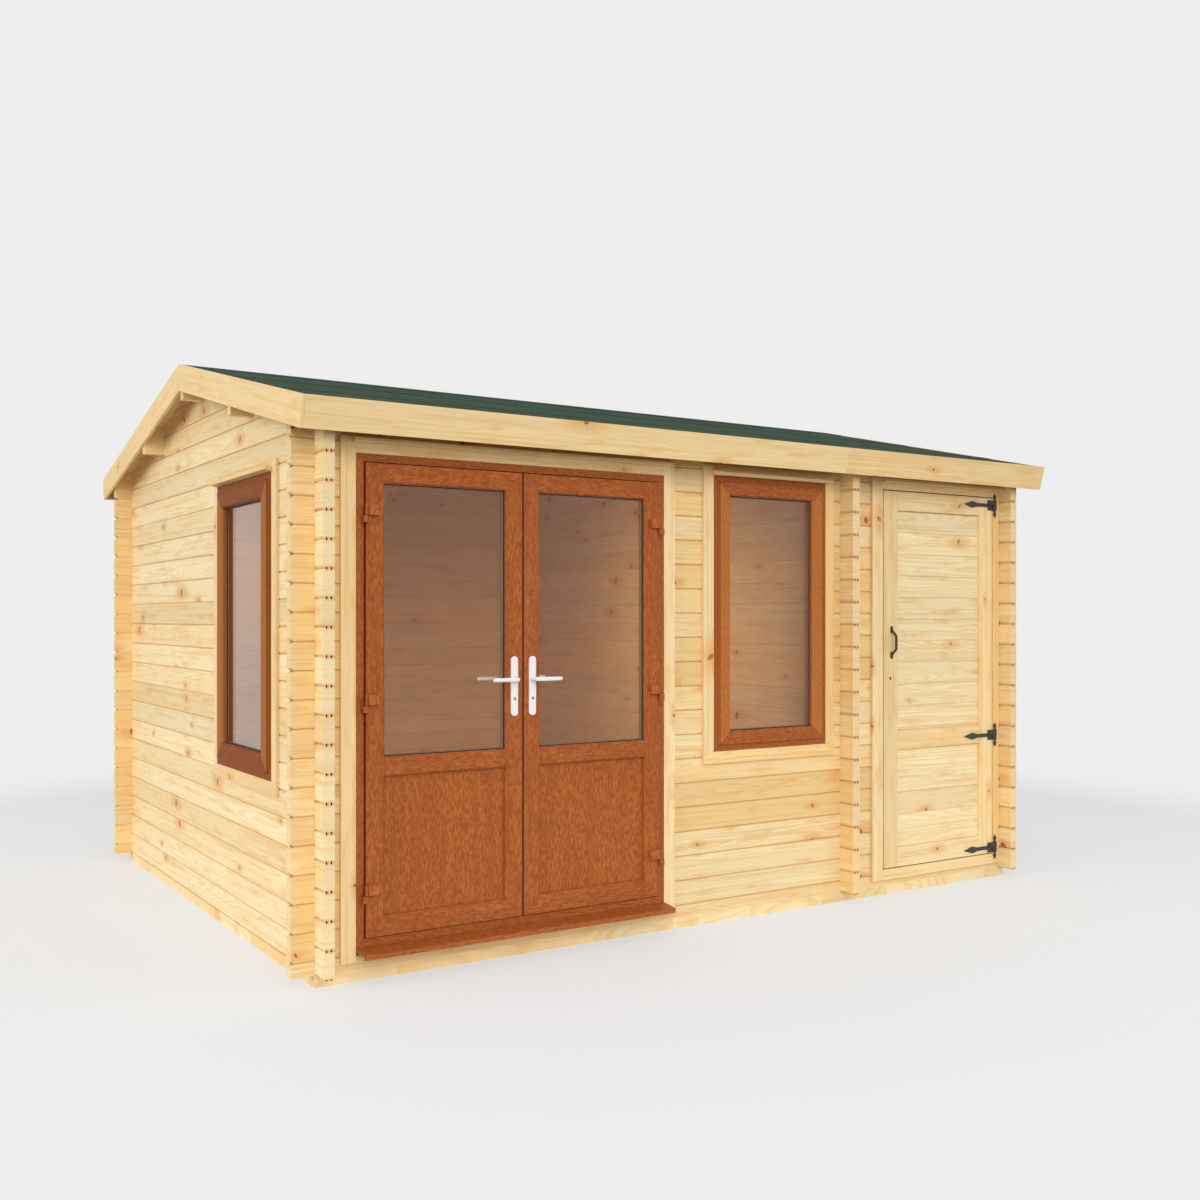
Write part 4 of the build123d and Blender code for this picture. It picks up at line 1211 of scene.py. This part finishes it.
GLASS = glass_material()
for node in ("left_leaf_glass", "right_leaf_glass", "window_glass"):
    dress(node, GLASS)

# ---------------- gaskets and spacer bars


def panes():
    """Sight opening and glass faces of each sealed unit: name, body, axis of its width, corners."""
    found = []
    for body in ("left_leaf", "right_leaf"):
        low, high = span(body + "_glass")
        edge = np.array([GLASS_EDGE, 0.0, GLASS_EDGE])
        found.append((body, body, 0, low + edge, high - edge))
    unit = high[1] - low[1]
    for node, wide, face, wall in (("front_window", 0, WINDOW_FACE, FRONT),
                                   ("side_window", 1, SIDE_WINDOW_FACE, LEFT)):
        low, high = span(node)
        low, high = low + face, high - face
        low[1 - wide], high[1 - wide] = wall, wall + unit
        found.append((node, "cabin", wide, low, high))
    return found


def seal_panes():
    """A rubber gasket on each face of the glass and the spacer bar between its two sheets."""
    for name, body, wide, low, high in panes():
        faces = (low[1 - wide], high[1 - wide])
        for label, face, out in (("outer", faces[0], -1), ("inner", faces[1], 1)):
            # from under the frame, along the glass, then up the bevelled lip and back over it
            foot, lip, crown = (face + out * rise for rise in GASKET_RISES)
            profile = [(GASKET_TUCK, foot), (-GASKET, foot), (-GASKET, lip), (-GASKET * 0.4, crown),
                       (GASKET_TUCK, crown)]
            gasket = f"{name}_{label}_gasket"
            frame_ring(gasket, low, high, wide, profile, RUBBER, body)
        outer, inner = faces[0] + GLASS_SHEET, faces[1] - GLASS_SHEET
        bar = [(SPACER_TUCK, outer), (-SPACER, outer), (-SPACER, inner), (SPACER_TUCK, inner)]
        frame_ring(f"{name}_spacer_bar", low, high, wide, bar, SPACER_METAL, body)


def seal_meeting():
    """The rubber strip up the left leaf's edge, where it meets the right one."""
    low, high = span("left_leaf")
    x0, x1 = (high[0] + place for place in MEETING_SEAL_X)
    y0, y1 = (FRONT + place for place in MEETING_SEAL_Y)
    seal = Boards(0, "golden_oak_upvc")
    seal.block((x0, y0, low[2] + 0.003), (x1, y1, high[2] - 0.003), 2, 0.0008)
    seal.piece("meeting_seal", RUBBER, "left_leaf")


RUBBER = speckled("black gasket", (0.022, 0.020, 0.019), (0.012, 0.011, 0.010), 400.0, 0.55)
SPACER_METAL = speckled("spacer bar", (0.30, 0.22, 0.18), (0.22, 0.16, 0.13), 300.0, 0.4)
seal_panes()
seal_meeting()

# ---------------- handles of the double door

WHITE = speckled("white powder coat", (0.84, 0.84, 0.83), (0.78, 0.78, 0.77), 900.0, 0.28, 0.0001)
BRASS = speckled("lock brass", (0.62, 0.45, 0.14), (0.50, 0.34, 0.09), 500.0, 0.26, 0.0001, Metallic=1.0)
# near black, painted shade in place of the slot in a lock cylinder and of a keyhole
KEYWAY_SHADE = speckled("keyway_shade", (0.020, 0.016, 0.012), (0.010, 0.008, 0.006), 500.0, 0.6)


def fit_handles(side, way):
    """Round-ended plates, levers, lock cylinders and screws of one leaf."""
    finish = (side + "_leaf", "white_handles")
    low, high = span(side + "_handle_plates")
    lever_low, lever_high = span(side + "_lever")
    x, _, middle_z = (low + high) / 2
    half_width = (high[0] - low[0]) / 2
    half_length = (high[2] - low[2]) / 2
    lever_z = (lever_low[2] + lever_high[2]) / 2
    lock_z = lever_z - LOCK_DROP
    plates = []
    for label, face, out in (("outer", low[1] + HANDLE_PLATE, -1), ("inner", high[1] - HANDLE_PLATE, 1)):
        name = f"{side}_{label}_"
        skin = face + out * HANDLE_PLATE
        sunk = skin - out * SUNK
        axis = (0, out, 0)
        plates.append(round_plates(name + "handle_plate", [(x, face, middle_z)], half_width, half_length,
                                   HANDLE_PLATE, out, WHITE, *finish))
        domes(name + "lock_cylinder", [(x, sunk, lock_z)], axis, *CYLINDER, BRASS, *finish, 20)
        # a dark slot on the cylinder's end, painted shade standing in for the keyway
        keyway_shade = [(x, skin + out * 0.0012, lock_z)]
        round_plates(name + "keyway_shade", keyway_shade, *KEYWAY_SLOT, out, KEYWAY_SHADE, *finish)
        screws = [(x, sunk, middle_z + up * (half_length - HANDLE_SCREW_INSET)) for up in (-1, 1)]
        domes(name + "plate_screws", screws, axis, *HANDLE_SCREW, WHITE, *finish, 14)
    for plate in plates:
        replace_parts(plate, side + "_handle_plates")
    length = abs((lever_low if way < 0 else lever_high)[0] - x)
    reach = low[1] - lever_low[1]
    pair = lever_handles(side + "_lever_handle", (x, 0, lever_z), way, (low[1], high[1]), reach, length,
                         WHITE, side + "_lever")
    for piece in pair:
        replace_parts(piece, side + "_lever")


fit_handles("left", -1)
fit_handles("right", 1)

# ---------------- ironwork of the store door

IRON = speckled("black iron", (0.046, 0.046, 0.048), (0.024, 0.024, 0.025), 260.0, 0.38, 0.0008)
for node in ("store_hinge_straps", "store_hinge_plates", "store_door_pull"):
    dress(node, IRON)
LEAF_LOW, LEAF_HIGH = span("store_door_leaf")
TRIM = FRONT - LEAF_LOW[1]


def iron_screws(name, places, head, body):
    """Domed screw heads on the front of the store door; head is their radius and height."""
    domes(name, places, (0, -1, 0), *head, IRON, body, "black_iron")


def fit_ironwork():
    """Screw heads on the hinges and the pull, and under the pull a dark keyhole, painted shade in place of
    the hole.
    """
    pull_low, pull_high = span("store_door_pull")
    edge = LEAF_HIGH[0]
    face = LEAF_LOW[1]
    skin = face - STRAP_THICK + 0.0003
    heights = (LEAF_LOW[2] + STRAP_LOW, LEAF_LOW[2] + STRAP_MIDDLE, LEAF_HIGH[2] - STRAP_HIGH)
    on_straps = [(edge - back, skin, z) for z in heights for back in STRAP_SCREWS]
    iron_screws("strap_screws", on_straps, STRAP_HEAD, "store_door")
    middle = edge + STORE_GAP + PLATE_MIDDLE
    on_plates = [(middle, skin, z + up * PLATE_SCREW) for z in heights for up in (-1, 1)]
    iron_screws("plate_screws", on_plates, PLATE_HEAD, "cabin")
    x = (pull_low[0] + pull_high[0]) / 2
    on_pull = [(x, face - PULL_FOOT, z) for z in (pull_low[2] + PULL_SCREW, pull_high[2] - PULL_SCREW)]
    iron_screws("pull_screws", on_pull, PULL_HEAD, "store_door")
    keyhole_z = (pull_low[2] + pull_high[2]) / 2 - KEYHOLE_DROP
    keyhole = [(LEAF_LOW[0] + KEYHOLE_INSET, face + 0.0001, keyhole_z)]
    round_plates("store_keyhole", keyhole, *KEYHOLE, -1, KEYWAY_SHADE, "store_door", "black_iron")


fit_ironwork()

# ---------------- trims and store door


def wall_place(wide, along, deep, z):
    """A point from its place along a wall that runs on axis wide, its place through it and its height."""
    return (deep, along, z) if wide else (along, deep, z)


def rain_bar(boards, wide, first, last, top, out):
    """A drip strip on the face of a trim, its upper edge sloping outwards."""
    deep = (FRONT, LEFT)[wide] - (out + TRIM) / 2
    ends = [wall_place(wide, place, deep, top - RAIN_BAR_HEIGHT / 2) for place in (last, first)]
    away = wall_place(wide, 0, -1, 0)
    boards.lay(*ends, away, out - TRIM, RAIN_BAR_HEIGHT, drop=RAIN_BAR_HEIGHT / 4)


def trim_door():
    """Uprights of full height, a head board between them and the rain bar."""
    low, high = span("door_trim")
    frame_low, frame_high = span("door_frame")
    face, wall = FRONT - TRIM, FRONT
    boards = Boards(1500)
    boards.block((low[0], face, low[2]), (frame_low[0], wall, high[2]), 2)
    boards.block((frame_high[0], face, low[2]), (high[0], wall, high[2]), 2)
    boards.block((frame_low[0], face, frame_high[2]), (frame_high[0], wall, high[2]), 0)
    rain_bar(boards, 0, frame_low[0] - TRIM, frame_high[0] + 2 * TRIM, high[2], FRONT - low[1])
    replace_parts(boards.piece("door_trim_boards", PLANED), "door_trim")


def trim_windows():
    """Round each window, two uprights on a board, a head board between them and the rain bar."""
    low, high = span("window_trims")
    front_high = span("front_window")[1]
    side = high[0] - front_high[0]
    head = high[2] - front_high[2]
    out = LEFT - low[0]
    boards = Boards(1520)
    for node, wide, wall in (("front_window", 0, FRONT), ("side_window", 1, LEFT)):
        window_low, window_high = span(node)
        first, last, z0, z1 = window_low[wide], window_high[wide], window_low[2], window_high[2]
        for a0, a1, foot, top, run in ((first - side, first, z0, z1 + head, 2),
                                       (last, last + side, z0, z1 + head, 2),
                                       (first - side, last + side, z0 - side, z0, wide),
                                       (first, last, z1, z1 + head, wide)):
            boards.block(wall_place(wide, a0, wall - TRIM, foot), wall_place(wide, a1, wall, top), run)
        rain_bar(boards, wide, first - TRIM, last + TRIM, z1 + RAIN_BAR_HEIGHT, out)
    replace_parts(boards.piece("window_trim_boards", PLANED), "window_trims")


def trim_store():
    """Uprights, head and bottom board round the store door, its rain bar and its lining."""
    low, high = span("store_door_trim")
    frame_low, frame_high = span("store_door_frame")
    in0, in1 = frame_low[0] + STORE_LINING, frame_high[0] - STORE_LINING
    foot, top = LEAF_LOW[2] - STORE_GAP, frame_high[2] - STORE_LINING
    face, wall = FRONT - TRIM, FRONT
    boards = Boards(1550)
    boards.block((low[0], face, low[2]), (in0, wall, high[2]), 2)
    boards.block((in1, face, low[2]), (high[0], wall, high[2]), 2)
    boards.block((in0, face, top), (in1, wall, high[2]), 0)
    boards.block((in0, face, low[2]), (in1, wall, foot), 0)
    rain_bar(boards, 0, in0, high[0], high[2], FRONT - low[1])
    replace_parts(boards.piece("store_trim_boards", PLANED), "store_door_trim")
    y0, y1 = frame_low[1], frame_high[1]
    side, deep = STORE_STOP
    lining = Boards(1570)
    lining.block((frame_low[0], y0, frame_low[2]), (in0, y1, frame_high[2]), 2)
    lining.block((in1, y0, frame_low[2]), (frame_high[0], y1, frame_high[2]), 2)
    lining.block((in0, y0, top), (in1, y1, frame_high[2]), 0)
    lining.block((in0, y0, frame_low[2]), (in1, y1, foot), 0)
    lining.block((in0, y1 - deep, foot), (in0 + side, y1, top), 2)
    lining.block((in1 - side, y1 - deep, foot), (in1, y1, top), 2)
    lining.block((in0 + side, y1 - deep, top - side), (in1 - side, y1, top), 0)
    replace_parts(lining.piece("store_lining_boards", PLANED), "store_door_frame")


def board_store_door():
    """Stiles of full height, three rails between them and level boards in the two panels."""
    low, high = LEAF_LOW, LEAF_HIGH
    rail = STORE_RAIL
    in0, in1 = low[0] + rail, high[0] - rail
    middle = low[2] + STORE_MID_RAIL
    boards = Boards(1600)
    for x0, x1 in ((low[0], in0), (in1, high[0])):
        boards.block((x0, low[1], low[2]), (x1, high[1], high[2]), 2, DOOR_ARRIS)
    rails = ((low[2], low[2] + rail), (middle - rail / 2, middle + rail / 2), (high[2] - rail, high[2]))
    for z0, z1 in rails:
        boards.block((in0, low[1], z0), (in1, high[1], z1), 0, DOOR_ARRIS)
    panels = Boards(1620)
    face = low[1] + TRIM
    back = face + STORE_BOARD
    for (_, foot), (head, _) in zip(rails, rails[1:]):
        upper = head
        while upper - foot > STORE_SLIVER:
            lower = max(foot, upper - STORE_BOARD_PITCH)
            if lower - foot < STORE_SLIVER:
                lower = foot
            left, right = in0 - STORE_TONGUE, in1 + STORE_TONGUE
            panels.block((left, face, lower), (right, back, upper), 0, PANEL_ARRIS)
            upper = lower
    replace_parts(boards.piece("store_door_framing", PLANED, "store_door"), "store_door_leaf")
    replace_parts(panels.piece("store_door_boards", PALE, "store_door"), "store_door_leaf")


trim_door()
trim_windows()
trim_store()
board_store_door()

# ---------------- stage, light and camera


def floor_material():
    """Pale ground that keeps the shadow near the cabin and turns into the background far from it."""
    material = bpy.data.materials.new("studio floor")
    net = blank_net(material)
    place = net.add("ShaderNodeTexCoord").outputs["Object"]
    away = net.add("ShaderNodeVectorMath", {0: place}, operation="LENGTH").outputs["Value"]
    tint = net.blend(net.noise(place, 2.0, 3.0), FLOOR_TONE, tuple(0.98 * c for c in FLOOR_TONE))
    ground = net.add("ShaderNodeBsdfPrincipled", {"Base Color": tint, "Roughness": 0.8})
    seen = net.seen()
    far = net.ease(away, *FLOOR_FADE)
    glow = net.add("ShaderNodeEmission", {"Color": net.blend(far, FLOOR_GLOW, BACKGROUND), "Strength": seen})
    net.show(net.two_shaders(net.larger(far, net.times(seen, 0.5)), ground, glow))
    return material


def stage_floor():
    """A level disc, its rings of points further apart towards its edge."""
    sides = 64
    turn = np.linspace(0, 2 * math.pi, sides + 1)[:-1]
    radii = np.array([0.01, 4, 8, 16, 60])
    points = np.zeros((len(radii), sides, 3))
    points[..., 0] = radii[:, None] * np.cos(turn)
    points[..., 1] = radii[:, None] * np.sin(turn)
    faces = grid_faces(len(radii), sides, closed_columns=True).tolist()
    new_object("studio_floor", points, faces, floor_material())


def light_world():
    """Soft pale light from all round; camera, gloss and glass see the background's tone."""
    world = bpy.data.worlds.new("studio")
    net = blank_net(world)
    seen = net.seen()
    soft = net.add("ShaderNodeBackground", {"Color": NEUTRAL, "Strength": 0.60})
    shown = net.add("ShaderNodeBackground", {"Color": BACKGROUND, "Strength": 1.0})
    net.show(net.two_shaders(seen, soft, shown), "World")
    bpy.context.scene.world = world


def lamp(name, place, target, size, power, colour=NEUTRAL):
    """A square area lamp aimed at a point, which is not seen itself."""
    light = bpy.data.lights.new(name, "AREA")
    light.size = size
    light.energy = power
    light.color = colour
    piece = link_object(name, light)
    piece.visible_camera = False
    piece.visible_glossy = False
    piece.visible_transmission = False
    piece.location = place
    piece.rotation_euler = (Vector(target) - Vector(place)).to_track_quat("-Z", "Y").to_euler()


stage_floor()
light_world()
lamp("key", (-16.0, -2.5, 4.6), (-1.0, 0.0, 1.1), 9.0, 1340)
lamp("front", (-4.5, -14.0, 6.0), (0.0, -1.0, 1.0), 9.0, 1000)
lamp("fill", (5.5, -8.0, 4.0), (0.8, -0.8, 1.0), 6.0, 130)
lamp("room", (PARTITION - 0.9, -0.2, 1.5), (PARTITION, -0.1, 1.2), 0.5, 3.8, WARM)
lamp("room_back", (LEFT + 0.5, BACK - 0.7, 1.7), (LEFT + 0.5, BACK, 1.2), 0.5, 1.6, WARM)

view = bpy.data.cameras.new("camera")
view.lens = 37.88
view.sensor_width = 36.0
view.shift_y = 0.0142
view.clip_end = 200.0
camera = link_object("camera", view)
camera.location = (LEFT - 1.634, FRONT - 4.475, 1.366)
camera.rotation_euler = (math.radians(90), 0.0, math.radians(-32.8))
bpy.context.scene.camera = camera
bpy.context.scene.view_settings.view_transform = "Standard"
